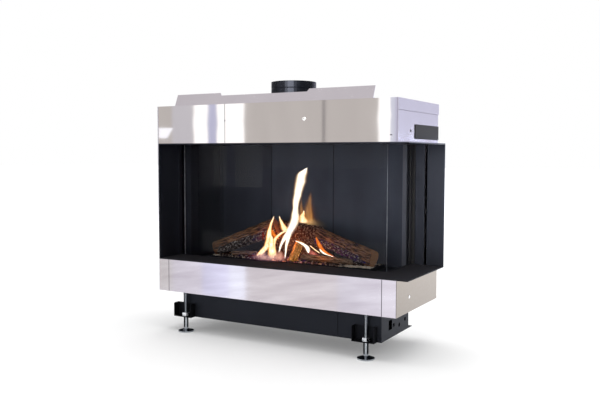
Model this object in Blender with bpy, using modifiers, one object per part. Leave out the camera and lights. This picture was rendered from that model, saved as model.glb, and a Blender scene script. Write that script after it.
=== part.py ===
"""A built-in corner gas fire with a balanced flue, glazed on its front and right sides.

Sizes are in metres. Places are given from the casing's own corner: u runs right from the casing's left face,
v runs back from its front face and z runs up from the floor. The datum empty shifts them all, so that the
origin is the middle of the footprint, on the floor.
"""

import math

import bmesh
import bpy
from mathutils import Matrix, Vector, noise

# Clearances
GAP = 0.0003
OVERRUN = 0.004
RUNNING_GAP = 0.0005
WELD = 0.000001

# Casing of galvanised sheet
CASING_WIDTH = 0.890
CASING_DEPTH = 0.350
CASING_SHEET = 0.0015
FOOT_ROOM = 0.138
LOWER_BAND_HEIGHT = 0.110
OPENING_HEIGHT = 0.394
UPPER_BAND_HEIGHT = 0.127
CORNER_FLANGE = 0.046
LEFT_RETURN = 0.004
LID_LIP = 0.034
FRONT_SEAM_AT = 0.286
FRONT_HOLE_AT = 0.582
FRONT_HOLE_RADIUS = 0.004
FRONT_HOLE_DROP = 0.054
SEAM_HOLE_RADIUS = 0.0025
COLUMN_FLANGE = 0.036
SIDE_HOLE_AT = 0.104
SIDE_HOLE_RADIUS = 0.0035
SIDE_HOLE_RISE = 0.034
LOWER_SIDE_HOLE_AT = 0.102
LOWER_SIDE_HOLE_RADIUS = 0.005
LOWER_SIDE_HOLE_RISE = 0.046
VENT_SLOT_LENGTH = 0.060
VENT_SLOT_HEIGHT = 0.008
VENT_SLOT_SPACING = 0.085
VENT_SLOTS = 9
VENT_ROW_DROP = 0.040
VENT_ROW_RISE = 0.035

# Leaning flange on the lid
FLANGE_LEFT_INSET = 0.077
FLANGE_RIGHT_INSET = 0.080
FLANGE_FOOT = 0.018
FLANGE_SETBACK = 0.003
FLANGE_HEIGHT = 0.038
FLANGE_LOW_HEIGHT = 0.029
FLANGE_LEAN = 0.016
FLANGE_LEFT_TAB = 0.179
FLANGE_RIGHT_TAB = 0.220
FLANGE_STEP_RUN = 0.006

# Dark plate on the upper right side
DATA_PLATE_LENGTH = 0.209
DATA_PLATE_HEIGHT = 0.044
DATA_PLATE_RISE = 0.011
DATA_PLATE_THICKNESS = 0.002

# Black plates and reveals round the opening
PLATE_THICKNESS = 0.003
PLATE_PROUD = 0.002
PLATE_SIDE_REACH = 0.035
PLATE_REAR_INSET = 0.035
REVEAL_DEPTH = 0.100
POST_THICKNESS = 0.006
REAR_REVEAL_WIDTH = 0.058
REAR_REVEAL_RETURN = 0.012
REAR_REVEAL_GAP = 0.008
REAR_POST_STEP = 0.018
REAR_POST_STEP_DEPTH = 0.006

# Glass and its gaskets
GLASS_THICKNESS = 0.004
GLASS_BEHIND_FRONT = 0.117
GLASS_BEHIND_SIDE = 0.080
GLASS_SUNK = 0.007
GLASS_OVER = 0.012
GLASS_LEFT_EDGE = 0.023
GLASS_REAR_INSET = 0.009
GASKET_OVERLAP = 0.002
GASKET_THICKNESS = 0.0024
TOP_GASKET_HEIGHT = 0.010

# Combustion chamber
CHAMBER_SHEET = 0.0015
CHAMBER_LEFT = 0.024
CHAMBER_REAR_SPACE = 0.028
CHAMBER_FLANGE = 0.023
CHAMBER_FLOOR_DROP = 0.015
CHAMBER_FLOOR_SHEET = 0.002
CHAMBER_HEADROOM = 0.042
LINER_THICKNESS = 0.020
LINER_SEAM_SHARES = (0.292, 0.633, 0.981)
LINER_RETURN = 0.018
LINER_GROOVE_INSET = 0.042
LINER_GROOVE = 0.002
CORNER_TRIM_PROUD = 0.004

# Flue
FLUE_OFFSET = 0.003
FLUE_V = 0.168
FLUE_RISE = 0.076
COLLAR_RADIUS = 0.075
COLLAR_WALL = 0.0015
COLLAR_BEAD = 0.0015
COLLAR_BEAD_DROP = 0.022
PIPE_RADIUS = 0.050
PIPE_WALL = 0.0012
PIPE_SINK = 0.005
AIR_BOX_WIDTH = 0.200
AIR_BOX_MARGIN = 0.015
AIR_BOX_HEIGHT = 0.048
FLUE_STEPS = 48

# Burner and fuel bed
TRAY_LEFT_INSET = 0.072
TRAY_RIGHT_INSET = 0.068
TRAY_FRONT_INSET = 0.021
TRAY_REAR_INSET = 0.038
TRAY_WALL = 0.0015
TRAY_HEIGHT = 0.0127
BED_LUMP = 0.0015
BED_CUTS_ALONG = 30
BED_CUTS_ACROSS = 8
BED_LUMP_SPACING = 0.012
LOG_SIDES = 12
LOG_RINGS = 9
LOG_ROUGH_SHARE = 0.14
LOG_LUMP_SPACING = 0.022
LOG_SEAT = 0.0004
PILOT_INSET = 0.102
PILOT_REAR_INSET = 0.018
PILOT_HEIGHT = 0.052
PILOT_RADIUS = 0.006
PILOT_FOOT = 0.030
PILOT_FOOT_THICKNESS = 0.003
PILOT_HOOD = 0.016

# Each log: its two ends as shares of the tray's length and depth, their heights over the bed, and its radii
STUMP_PLACE_SHARES = ((0.365, 0.839), (0.644, 0.823))
STUMP_RISES = (0.0655, 0.0570)
STUMP_RADII = (0.069, 0.060)
STUMP_THICKNESS_SHARE = 0.40
LEFT_LOG_PLACE_SHARES = ((0.016, 0.161), (0.385, 0.565))
LEFT_LOG_RISES = (0.0235, 0.1125)
LEFT_LOG_RADII = (0.026, 0.034)
RIGHT_LOG_PLACE_SHARES = ((0.632, 0.677), (0.999, 0.323))
RIGHT_LOG_RISES = (0.0860, 0.0275)
RIGHT_LOG_RADII = (0.031, 0.030)
SPLIT_THICKNESS_SHARE = 0.80
FRONT_LOG_PLACE_SHARES = ((0.571, 0.371), (0.875, 0.258))
FRONT_LOG_RISES = (0.0130, 0.0110)
FRONT_LOG_RADII = (0.015, 0.0135)
SPLIT_LOG_ALONG_SHARES = (0.520, 0.546)
SPLIT_LOG_SPACE = 0.0035
SPLIT_LOG_LEAN_SHARE = 0.218
SPLIT_LOG_RISES = (0.001, 0.0670)
SPLIT_LOG_RADII = (0.016, 0.014)
KINDLING_PLACE_SHARES = ((0.138, 0.161), (0.263, 0.468))
KINDLING_RISES = (0.0095, 0.0100)
KINDLING_RADII = (0.0125, 0.0125)
ROUND_SHARE = 1.0

# Control box under the casing
BASE_BOX_LEFT_INSET = 0.084
BASE_BOX_RIGHT_INSET = 0.059
BASE_BOX_FRONT = 0.032
BASE_BOX_DEPTH = 0.218
BASE_BOX_CLEARANCE = 0.051
BASE_BOX_SHEET = 0.0015
BASE_BOX_RIM = 0.014
BASE_TAIL_WIDTH = 0.090
BASE_TAIL_DEPTH = 0.033
COVER_LEFT_INSET = 0.138
COVER_RIGHT_INSET = 0.146
COVER_MARGIN = 0.014
COVER_RISE = 0.006
COVER_HEIGHT = 0.074
COVER_SCREW_RADIUS = 0.0035
COVER_SCREW_HEIGHT = 0.0012
COVER_SCREW_INSET = 0.009
COVER_SCREWS_ALONG = 4
SLOT_INSET = 0.068
SLOT_WIDTH = 0.026
SLOT_RISE = 0.026
SLOT_HEIGHT = 0.030
CABLE_HOLE_INSETS = (0.095, 0.140, 0.189)
CABLE_HOLE_RISES = (0.035, 0.027, 0.036)
CABLE_HOLE_RADIUS = 0.007

# Gas controls
VALVE_SPACING = 0.150
VALVE_INSET = 0.073
VALVE_LENGTH = 0.090
VALVE_DEPTH = 0.052
VALVE_HEIGHT = 0.048
VALVE_MOTOR_RADIUS = 0.016
VALVE_MOTOR_LENGTH = 0.024
KNOB_RADIUS = 0.015
KNOB_LENGTH = 0.016
KNOB_STEM_RADIUS = 0.004
KNOB_STEM_LENGTH = 0.006
KNOB_GRIPS = 12
KNOB_GRIP_DEPTH = 0.001
PIPE_BORE_RADIUS = 0.004
GAS_PIPE_RADIUS = 0.006
PIPE_HEIGHT = 0.030
TAP_INSET = 0.100
TAP_LENGTH = 0.056
TAP_RADIUS = 0.011
TAP_NUT_RADIUS = 0.014
TAP_NUT_LENGTH = 0.012
TAP_BOSS_RADIUS = 0.007
TAP_BOSS_HEIGHT = 0.018
LEVER_LENGTH = 0.044
LEVER_WIDTH = 0.012
LEVER_THICKNESS = 0.003
SUPPLY_BEND = 0.030
SUPPLY_SHIFT = 0.150
SUPPLY_BACK = 0.070

# Feet
FOOT_INSET = 0.104
FOOT_FRONT_V = 0.020
REAR_FOOT_INSET = 0.208
BRACKET_WIDTH = 0.074
BRACKET_SHIFT = 0.006
BRACKET_DEPTH = 0.024
BRACKET_HEIGHT = 0.047
BRACKET_SHEET = 0.002
BRACKET_CHAMFER = 0.004
PAD_RADIUS = 0.027
PAD_EDGE = 0.004
PAD_CONE = 0.006
STEM_RADIUS = 0.008
SCREW_RADIUS = 0.005
SCREW_ABOVE_BRACKET = 0.102
NUT_HEIGHT = 0.013
NUT_CORNER_RADIUS = 0.013
HEX_SIDES = 6
ROUND_STEPS = 24

# Derived levels and places
CASING_BOTTOM = FOOT_ROOM
FLOOR_PLATE_BOTTOM = CASING_BOTTOM + LOWER_BAND_HEIGHT
FLOOR_PLATE_TOP = FLOOR_PLATE_BOTTOM + PLATE_THICKNESS
TOP_PLATE_BOTTOM = FLOOR_PLATE_TOP + OPENING_HEIGHT
TOP_PLATE_TOP = TOP_PLATE_BOTTOM + PLATE_THICKNESS
CASING_TOP = TOP_PLATE_TOP + UPPER_BAND_HEIGHT
INSET = CASING_SHEET + GAP
UNDER_LID = CASING_TOP - INSET
RIGHT_PANEL_FACE = CASING_WIDTH - INSET
BACK_PANEL_FACE = CASING_DEPTH - INSET
BASE_TOP = CASING_BOTTOM + CASING_SHEET
OPENING_LEFT = INSET + LEFT_RETURN + GAP
PLATE_FRONT = -PLATE_PROUD
PLATE_RIGHT = CASING_WIDTH + PLATE_SIDE_REACH
PLATE_REAR = CASING_DEPTH - PLATE_REAR_INSET
GLASS_FRONT = GLASS_BEHIND_FRONT
GLASS_SIDE = CASING_WIDTH - GLASS_BEHIND_SIDE
GLASS_REAR_EDGE = PLATE_REAR - GLASS_REAR_INSET
GLASS_BOTTOM = FLOOR_PLATE_TOP - GLASS_SUNK
GLASS_TOP = TOP_PLATE_TOP + GLASS_OVER
GLASS_BACK = GLASS_FRONT + GLASS_THICKNESS
GLASS_INNER_SIDE = GLASS_SIDE - GLASS_THICKNESS
CHAMBER_REAR = CASING_DEPTH - CHAMBER_REAR_SPACE
CHAMBER_FLOOR_BOTTOM = FLOOR_PLATE_TOP - CHAMBER_FLOOR_DROP
CHAMBER_FLOOR_TOP = CHAMBER_FLOOR_BOTTOM + CHAMBER_FLOOR_SHEET
CEILING_BOTTOM = TOP_PLATE_TOP + CHAMBER_HEADROOM
CEILING_TOP = CEILING_BOTTOM + CHAMBER_FLOOR_SHEET
CHAMBER_FRONT = GLASS_BACK + GAP + GASKET_THICKNESS + GAP
LINTEL_SIDE = GLASS_INNER_SIDE - GAP - GASKET_THICKNESS - GAP
SHELL_INNER_LEFT = CHAMBER_LEFT + CHAMBER_SHEET + GAP
SHELL_INNER_REAR = CHAMBER_REAR - CHAMBER_SHEET - GAP
SHELL_INNER_FRONT = CHAMBER_FRONT + CHAMBER_SHEET + GAP
LINER_FACE_LEFT = SHELL_INNER_LEFT + LINER_THICKNESS
LINER_FACE_REAR = SHELL_INNER_REAR - LINER_THICKNESS
TRAY_START = LINER_FACE_LEFT + TRAY_LEFT_INSET
TRAY_END = GLASS_SIDE - TRAY_RIGHT_INSET
TRAY_FRONT = GLASS_FRONT + TRAY_FRONT_INSET
TRAY_REAR = LINER_FACE_REAR - TRAY_REAR_INSET
TRAY_BOTTOM = CHAMBER_FLOOR_TOP + GAP
TRAY_TOP = TRAY_BOTTOM + TRAY_HEIGHT
FUEL_BED_TOP = TRAY_TOP - TRAY_WALL
PILOT_U = TRAY_END - PILOT_INSET
PILOT_V = LINER_FACE_REAR - PILOT_REAR_INSET
AIR_BOX_TOP = CEILING_TOP + AIR_BOX_HEIGHT
FLUE_TOP = CASING_TOP + FLUE_RISE
FLUE_U = CASING_WIDTH / 2 + FLUE_OFFSET
BASE_BOX_START = BASE_BOX_LEFT_INSET
BASE_BOX_END = CASING_WIDTH - BASE_BOX_RIGHT_INSET
BASE_BOX_REAR = BASE_BOX_FRONT + BASE_BOX_DEPTH
BASE_BOX_TOP = CASING_BOTTOM - GAP
COVER_START = BASE_BOX_START + COVER_LEFT_INSET
COVER_END = BASE_BOX_END - COVER_RIGHT_INSET
SLOT_AT = BASE_BOX_FRONT + SLOT_INSET
TAP_U = BASE_BOX_END - TAP_INSET
VALVE_U = TAP_U - VALVE_SPACING
VALVE_V = BASE_BOX_FRONT + VALVE_INSET
BASE_BOX_FLOOR = BASE_BOX_CLEARANCE + BASE_BOX_SHEET + GAP
BRACKET_BOTTOM = BASE_BOX_CLEARANCE
STEM_TOP = BRACKET_BOTTOM - GAP
REAR_FOOT_V = BASE_BOX_REAR + BASE_BOX_FRONT - FOOT_FRONT_V
FRONT_REACH = PAD_RADIUS - FOOT_FRONT_V
DATUM_SHIFT = (-PLATE_RIGHT / 2, -(CASING_DEPTH - FRONT_REACH) / 2, 0)

for old in list(bpy.data.objects):
    bpy.data.objects.remove(old, do_unlink=True)

PARTS = bpy.data.collections.new("corner_gas_fire")
CUTTERS = bpy.data.collections.new("cutters")
bpy.context.scene.collection.children.link(PARTS)
bpy.context.scene.collection.children.link(CUTTERS)
DATUM = bpy.data.objects.new("casing_corner", None)
DATUM.location = DATUM_SHIFT
PARTS.objects.link(DATUM)


def material(name, colour, roughness, metallic):
    made = bpy.data.materials.new(name)
    made.use_nodes = True
    surface = made.node_tree.nodes["Principled BSDF"]
    surface.inputs["Base Color"].default_value = (*colour, 1)
    surface.inputs["Roughness"].default_value = roughness
    surface.inputs["Metallic"].default_value = metallic
    return made


GALVANISED = material("galvanised_steel", (0.62, 0.61, 0.64), 0.25, 1)
BLACK_COAT = material("black_powder_coat", (0.02, 0.02, 0.022), 0.45, 0)
CHAMBER_COAT = material("black_heat_proof_paint", (0.03, 0.032, 0.036), 0.5, 0)
CERAMIC_GLASS = material("ceramic_glass", (0.02, 0.02, 0.02), 0.05, 0)
GASKET_ROPE = material("graphite_gasket", (0.08, 0.08, 0.08), 0.9, 0)
CHARRED_CERAMIC = material("charred_ceramic_log", (0.14, 0.09, 0.06), 0.9, 0)
EMBER = material("ember_granules", (0.30, 0.18, 0.12), 0.95, 0)
ZINC = material("zinc_plated_steel", (0.55, 0.56, 0.58), 0.3, 1)
BRASS = material("brass", (0.60, 0.45, 0.18), 0.3, 1)
ALUMINIUM = material("die_cast_aluminium", (0.55, 0.55, 0.56), 0.4, 1)
PLASTIC = material("black_plastic", (0.02, 0.02, 0.02), 0.5, 0)
COPPER = material("copper_pipe", (0.55, 0.27, 0.17), 0.3, 1)


def add_object(name, mesh, finish, location):
    made = bpy.data.objects.new(name, mesh)
    made.location = location
    made.parent = DATUM
    if finish is None:
        CUTTERS.objects.link(made)
        made.hide_render = True
        made.display_type = "WIRE"
    else:
        PARTS.objects.link(made)
        mesh.materials.append(finish)
    return made


def from_bmesh(name, shape, finish, location):
    bmesh.ops.recalc_face_normals(shape, faces=shape.faces)
    mesh = bpy.data.meshes.new(name)
    shape.to_mesh(mesh)
    shape.free()
    return add_object(name, mesh, finish, location)


def smooth(piece, angle=math.radians(35)):
    piece.data.shade_smooth()
    piece.data.set_sharp_from_angle(angle=angle)
    return piece


def box_shape(low, high):
    """A cube primitive stretched between two corners, about its own middle, and the place of that middle."""
    size = [high[i] - low[i] for i in range(3)]
    middle = [(high[i] + low[i]) / 2 for i in range(3)]
    shape = bmesh.new()
    bmesh.ops.create_cube(shape, size=1)
    bmesh.ops.scale(shape, vec=size, verts=shape.verts)
    return shape, middle


def block(name, low, high, finish):
    shape, middle = box_shape(low, high)
    return from_bmesh(name, shape, finish, middle)


def open_box(name, low, high, open_sides, thickness, finish):
    """A sheet box between two corners, without the sides whose outward directions are listed."""
    shape, middle = box_shape(low, high)
    shape.normal_update()
    gone = [f for f in shape.faces if any(f.normal.dot(Vector(side)) > 0.5 for side in open_sides)]
    bmesh.ops.delete(shape, geom=gone, context="FACES")
    mesh = bpy.data.meshes.new(name)
    shape.to_mesh(mesh)
    shape.free()
    made = add_object(name, mesh, finish, middle)
    add_sheet(made, thickness, -1)
    return made


def add_sheet(piece, thickness, side):
    sheet = piece.modifiers.new("sheet", "SOLIDIFY")
    sheet.thickness = thickness
    sheet.offset = side
    sheet.use_even_offset = True
    return sheet


def open_path(shape, points):
    verts = [shape.verts.new(point) for point in points]
    return [shape.edges.new(pair) for pair in zip(verts, verts[1:])]


def pull_out(shape, edges):
    """Extrudes edges into faces, and gives the new points and edges, which still lie where the old ones do."""
    made = bmesh.ops.extrude_edge_only(shape, edges=edges)["geom"]
    new_verts = [g for g in made if isinstance(g, bmesh.types.BMVert)]
    new_edges = [g for g in made if isinstance(g, bmesh.types.BMEdge) and all(v in new_verts for v in g.verts)]
    return new_verts, new_edges


def folded_sheet(name, path, low, high, thickness, finish):
    """Upright sheet along a path of (u, v) points, on its right side, or on its left if thickness is below zero."""
    shape = bmesh.new()
    edges = open_path(shape, [(u, v, low) for u, v in path])
    raised, _ = pull_out(shape, edges)
    bmesh.ops.translate(shape, verts=raised, vec=(0, 0, high - low))
    mesh = bpy.data.meshes.new(name)
    shape.to_mesh(mesh)
    shape.free()
    made = add_object(name, mesh, finish, (0, 0, 0))
    add_sheet(made, thickness, -1)
    return made


def to_mesh_object(source, name, finish, location):
    """A mesh object from a curve, with the caps welded to the sides, in place of the curve."""
    graph = bpy.context.evaluated_depsgraph_get()
    mesh = bpy.data.meshes.new_from_object(source.evaluated_get(graph))
    shape = bmesh.new()
    shape.from_mesh(mesh)
    bmesh.ops.remove_doubles(shape, verts=shape.verts, dist=WELD)
    bmesh.ops.recalc_face_normals(shape, faces=shape.faces)
    shape.to_mesh(mesh)
    shape.free()
    mesh.materials.clear()
    mesh.name = name
    rotation = source.rotation_euler.copy()
    bpy.data.objects.remove(source, do_unlink=True)
    made = add_object(name, mesh, finish, location)
    made.rotation_euler = rotation
    return made


PLATE_TURN = {"z": (0, 0, 0), "v": (math.pi / 2, 0, 0), "u": (math.pi / 2, 0, math.pi / 2)}
PLATE_AXIS = {"z": (0, 0, 1), "v": (0, 1, 0), "u": (1, 0, 0)}


def plate(name, outline, holes, across, low, high, finish):
    """Flat plate with holes, square to one axis. Its outlines are in the other two, in the order u, v, z."""
    curve = bpy.data.curves.new(name, "CURVE")
    curve.dimensions = "2D"
    curve.fill_mode = "BOTH"
    curve.extrude = (high - low) / 2
    for points in (outline, *holes):
        spline = curve.splines.new("POLY")
        spline.points.add(len(points) - 1)
        for point, (x, y) in zip(spline.points, points):
            point.co = (x, y, 0, 1)
        spline.use_cyclic_u = True
    flat = bpy.data.objects.new(name + "_outline", curve)
    flat.rotation_euler = PLATE_TURN[across]
    CUTTERS.objects.link(flat)
    place = [part * (low + high) / 2 for part in PLATE_AXIS[across]]
    return to_mesh_object(flat, name, finish, place)


def rectangle(low, high):
    return [low, (high[0], low[1]), high, (low[0], high[1])]


def circle(middle, radius, count=ROUND_STEPS):
    turns = [2 * math.pi * i / count for i in range(count)]
    return [(middle[0] + radius * math.cos(t), middle[1] + radius * math.sin(t)) for t in turns]


def slot(middle, length, height):
    """A long hole with round ends."""
    reach = (length - height) / 2
    ends = []
    for side, start in ((1, -math.pi / 2), (-1, math.pi / 2)):
        for i in range(ROUND_STEPS // 3 + 1):
            turn = start + math.pi * i / (ROUND_STEPS // 3)
            x = middle[0] + side * reach + height / 2 * math.cos(turn)
            ends.append((x, middle[1] + height / 2 * math.sin(turn)))
    return ends


def turned(name, profile, location, finish, steps=ROUND_STEPS, direction=(0, 0, 1)):
    """A turned piece. Its profile of (radius, height) is a closed ring unless it starts on the axis."""
    solid = profile[0][0] == 0
    mesh = bpy.data.meshes.new(name)
    edges = [(i, i + 1) for i in range(len(profile) - 1)]
    if not solid:
        edges.append((len(profile) - 1, 0))
    mesh.from_pydata([(r, 0, h) for r, h in profile], edges, [])
    source = bpy.data.objects.new(name + "_profile", mesh)
    CUTTERS.objects.link(source)
    screw = source.modifiers.new("turn", "SCREW")
    screw.steps = screw.render_steps = steps
    screw.use_merge_vertices = True
    screw.merge_threshold = WELD
    screw.use_normal_calculate = True
    bpy.context.view_layer.update()
    made = to_mesh_object(source, name, finish, location)
    made.rotation_mode = "QUATERNION"
    made.rotation_quaternion = Vector(direction).to_track_quat("Z", "Y")
    return smooth(made)


def tube(name, points, radius, finish, location=(0, 0, 0)):
    curve = bpy.data.curves.new(name, "CURVE")
    curve.dimensions = "3D"
    curve.bevel_depth = radius
    curve.bevel_resolution = 2
    curve.use_fill_caps = True
    spline = curve.splines.new("POLY")
    spline.points.add(len(points) - 1)
    for point, place in zip(spline.points, points):
        point.co = (*place, 1)
    source = bpy.data.objects.new(name + "_line", curve)
    CUTTERS.objects.link(source)
    return smooth(to_mesh_object(source, name, finish, location))


def combine(piece, other, operation):
    change = piece.modifiers.new(other.name, "BOOLEAN")
    change.operation = operation
    change.object = other
    change.solver = "EXACT"
    return piece


def cut(piece, other):
    return combine(piece, other, "DIFFERENCE")


def join(piece, other):
    return combine(piece, other, "UNION")


def drill(piece, middle, radius, across, length, steps=ROUND_STEPS):
    """A round hole through a piece, as long as asked, about its middle."""
    shape = bmesh.new()
    bmesh.ops.create_cone(shape, cap_ends=True, segments=steps, radius1=radius, radius2=radius, depth=length)
    drill_name = piece.name + "_hole_" + str(len(piece.modifiers))
    tool = from_bmesh(drill_name, shape, None, middle)
    tool.rotation_mode = "QUATERNION"
    tool.rotation_quaternion = Vector(PLATE_AXIS[across]).to_track_quat("Z", "Y")
    return cut(piece, tool)


def bend(before, corner, after, radius, count=5):
    """Points of a round bend at a corner of a pipe's route."""
    corner = Vector(corner)
    start = corner + (Vector(before) - corner).normalized() * radius
    end = corner + (Vector(after) - corner).normalized() * radius
    shares = [i / count for i in range(count + 1)]
    return [start.lerp(corner, s).lerp(corner.lerp(end, s), s) for s in shares]


def make_casing():
    folded_sheet(
        "left_casing_panel",
        [(INSET, BACK_PANEL_FACE - CASING_SHEET - GAP), (INSET, 0), (INSET + LEFT_RETURN, 0)],
        CASING_BOTTOM,
        UNDER_LID,
        -CASING_SHEET,
        GALVANISED,
    )
    vents = []
    first = (CASING_WIDTH - (VENT_SLOTS - 1) * VENT_SLOT_SPACING) / 2
    for row in (UNDER_LID - LID_LIP - VENT_ROW_DROP, CASING_BOTTOM + VENT_ROW_RISE):
        for i in range(VENT_SLOTS):
            vents.append(slot((first + i * VENT_SLOT_SPACING, row), VENT_SLOT_LENGTH, VENT_SLOT_HEIGHT))
    back_outline = rectangle((INSET, CASING_BOTTOM), (RIGHT_PANEL_FACE, UNDER_LID))
    inner_face = BACK_PANEL_FACE - CASING_SHEET
    plate("back_casing_panel", back_outline, vents, "v", inner_face, BACK_PANEL_FACE, GALVANISED)

    upper_low = TOP_PLATE_TOP + GAP
    hole_z = CASING_TOP - FRONT_HOLE_DROP
    seam_left = FRONT_SEAM_AT - GAP / 2
    seam_right = FRONT_SEAM_AT + GAP / 2
    left_front = plate(
        "upper_front_panel_left",
        rectangle((OPENING_LEFT, upper_low), (seam_left, CASING_TOP)),
        [],
        "v",
        0,
        CASING_SHEET,
        GALVANISED,
    )
    drill(left_front, (FRONT_SEAM_AT, 0, hole_z), SEAM_HOLE_RADIUS, "v", OVERRUN)
    right_front = plate(
        "upper_front_panel_right",
        rectangle((seam_right, upper_low), (CASING_WIDTH, CASING_TOP)),
        [circle((FRONT_HOLE_AT, hole_z), FRONT_HOLE_RADIUS)],
        "v",
        0,
        CASING_SHEET,
        GALVANISED,
    )
    drill(right_front, (FRONT_SEAM_AT, 0, hole_z), SEAM_HOLE_RADIUS, "v", OVERRUN)

    side_rear = BACK_PANEL_FACE - CASING_SHEET - GAP
    plate(
        "upper_right_panel",
        rectangle((INSET, upper_low), (side_rear, UNDER_LID)),
        [circle((SIDE_HOLE_AT, TOP_PLATE_TOP + SIDE_HOLE_RISE), SIDE_HOLE_RADIUS)],
        "u",
        RIGHT_PANEL_FACE - CASING_SHEET,
        RIGHT_PANEL_FACE,
        GALVANISED,
    )
    plate_low = TOP_PLATE_TOP + DATA_PLATE_RISE
    block(
        "data_plate",
        (RIGHT_PANEL_FACE + GAP, side_rear - DATA_PLATE_LENGTH, plate_low),
        (RIGHT_PANEL_FACE + GAP + DATA_PLATE_THICKNESS, side_rear, plate_low + DATA_PLATE_HEIGHT),
        BLACK_COAT,
    )
    column_face = RIGHT_PANEL_FACE - CASING_SHEET - GAP
    folded_sheet(
        "rear_right_column",
        [(column_face, PLATE_REAR + GAP), (column_face, side_rear), (column_face - COLUMN_FLANGE, side_rear)],
        BASE_TOP + GAP,
        UNDER_LID,
        -CASING_SHEET,
        GALVANISED,
    )

    lid = open_box(
        "casing_lid",
        (0, INSET, CASING_TOP - LID_LIP),
        (CASING_WIDTH, CASING_DEPTH, CASING_TOP),
        [(0, -1, 0), (0, 0, -1)],
        CASING_SHEET,
        GALVANISED,
    )
    drill(lid, (FLUE_U, FLUE_V, CASING_TOP), COLLAR_RADIUS + RUNNING_GAP, "z", 2 * OVERRUN, FLUE_STEPS)

    lower_high = FLOOR_PLATE_BOTTOM - GAP
    post_end = CORNER_FLANGE
    plate(
        "lower_left_post",
        rectangle((OPENING_LEFT, CASING_BOTTOM), (post_end - GAP / 2, lower_high)),
        [],
        "v",
        0,
        CASING_SHEET,
        GALVANISED,
    )
    plate(
        "lower_front_panel",
        rectangle((post_end + GAP / 2, CASING_BOTTOM), (CASING_WIDTH - post_end - GAP / 2, lower_high)),
        [],
        "v",
        0,
        CASING_SHEET,
        GALVANISED,
    )
    corner = folded_sheet(
        "lower_right_corner_panel",
        [(CASING_WIDTH - post_end + GAP / 2, 0), (CASING_WIDTH, 0), (CASING_WIDTH, CASING_DEPTH)],
        CASING_BOTTOM,
        lower_high,
        -CASING_SHEET,
        GALVANISED,
    )
    hole_place = (CASING_WIDTH, LOWER_SIDE_HOLE_AT, CASING_BOTTOM + LOWER_SIDE_HOLE_RISE)
    drill(corner, hole_place, LOWER_SIDE_HOLE_RADIUS, "u", OVERRUN)

    rim = BASE_BOX_RIM
    opening = rectangle(
        (BASE_BOX_START + rim, BASE_BOX_FRONT + rim),
        (BASE_BOX_END - rim, BASE_BOX_REAR - rim),
    )
    screw_holes = [circle(place, SCREW_RADIUS + RUNNING_GAP) for place in foot_places()]
    plate(
        "casing_base",
        rectangle((INSET + INSET, INSET), (RIGHT_PANEL_FACE, side_rear)),
        [opening, *screw_holes],
        "z",
        CASING_BOTTOM,
        BASE_TOP,
        GALVANISED,
    )


def foot_places():
    """The (u, v) places of the four feet."""
    return [
        (FOOT_INSET, FOOT_FRONT_V),
        (CASING_WIDTH - FOOT_INSET, FOOT_FRONT_V),
        (REAR_FOOT_INSET, REAR_FOOT_V),
        (CASING_WIDTH - REAR_FOOT_INSET, REAR_FOOT_V),
    ]


def make_lid_flange():
    """A bent strip: a foot on the lid and a leaning blade with both ends raised."""
    start = FLANGE_LEFT_INSET
    end = CASING_WIDTH - FLANGE_RIGHT_INSET
    left_tab_end = start + FLANGE_LEFT_TAB
    right_tab_start = end - FLANGE_RIGHT_TAB
    steps = [
        (start, FLANGE_HEIGHT),
        (left_tab_end, FLANGE_HEIGHT),
        (left_tab_end + FLANGE_STEP_RUN, FLANGE_LOW_HEIGHT),
        (right_tab_start - FLANGE_STEP_RUN, FLANGE_LOW_HEIGHT),
        (right_tab_start, FLANGE_HEIGHT),
        (end, FLANGE_HEIGHT),
    ]
    seat = CASING_TOP + GAP
    front = FLANGE_SETBACK
    shape = bmesh.new()
    edges = open_path(shape, [(u, front + FLANGE_FOOT, seat) for u, _ in steps])
    fold, edges = pull_out(shape, edges)
    bmesh.ops.translate(shape, verts=fold, vec=(0, -FLANGE_FOOT, 0))
    rim, _ = pull_out(shape, edges)
    for vert in rim:
        height = min(steps, key=lambda step: abs(step[0] - vert.co.x))[1]
        vert.co.y += FLANGE_LEAN * height / FLANGE_HEIGHT
        vert.co.z += height
    mesh = bpy.data.meshes.new("lid_flange")
    shape.to_mesh(mesh)
    shape.free()
    made = add_object("lid_flange", mesh, GALVANISED, (0, 0, 0))
    add_sheet(made, CASING_SHEET, 1)


def frame_outline():
    """The L shape of the black plates, from the opening's left end round the corner to the rear."""
    inner_front = GLASS_FRONT - GAP
    inner_side = GLASS_SIDE + GAP
    return [
        (OPENING_LEFT, PLATE_FRONT),
        (PLATE_RIGHT, PLATE_FRONT),
        (PLATE_RIGHT, PLATE_REAR),
        (inner_side, PLATE_REAR),
        (inner_side, inner_front),
        (OPENING_LEFT, inner_front),
    ]


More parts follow.
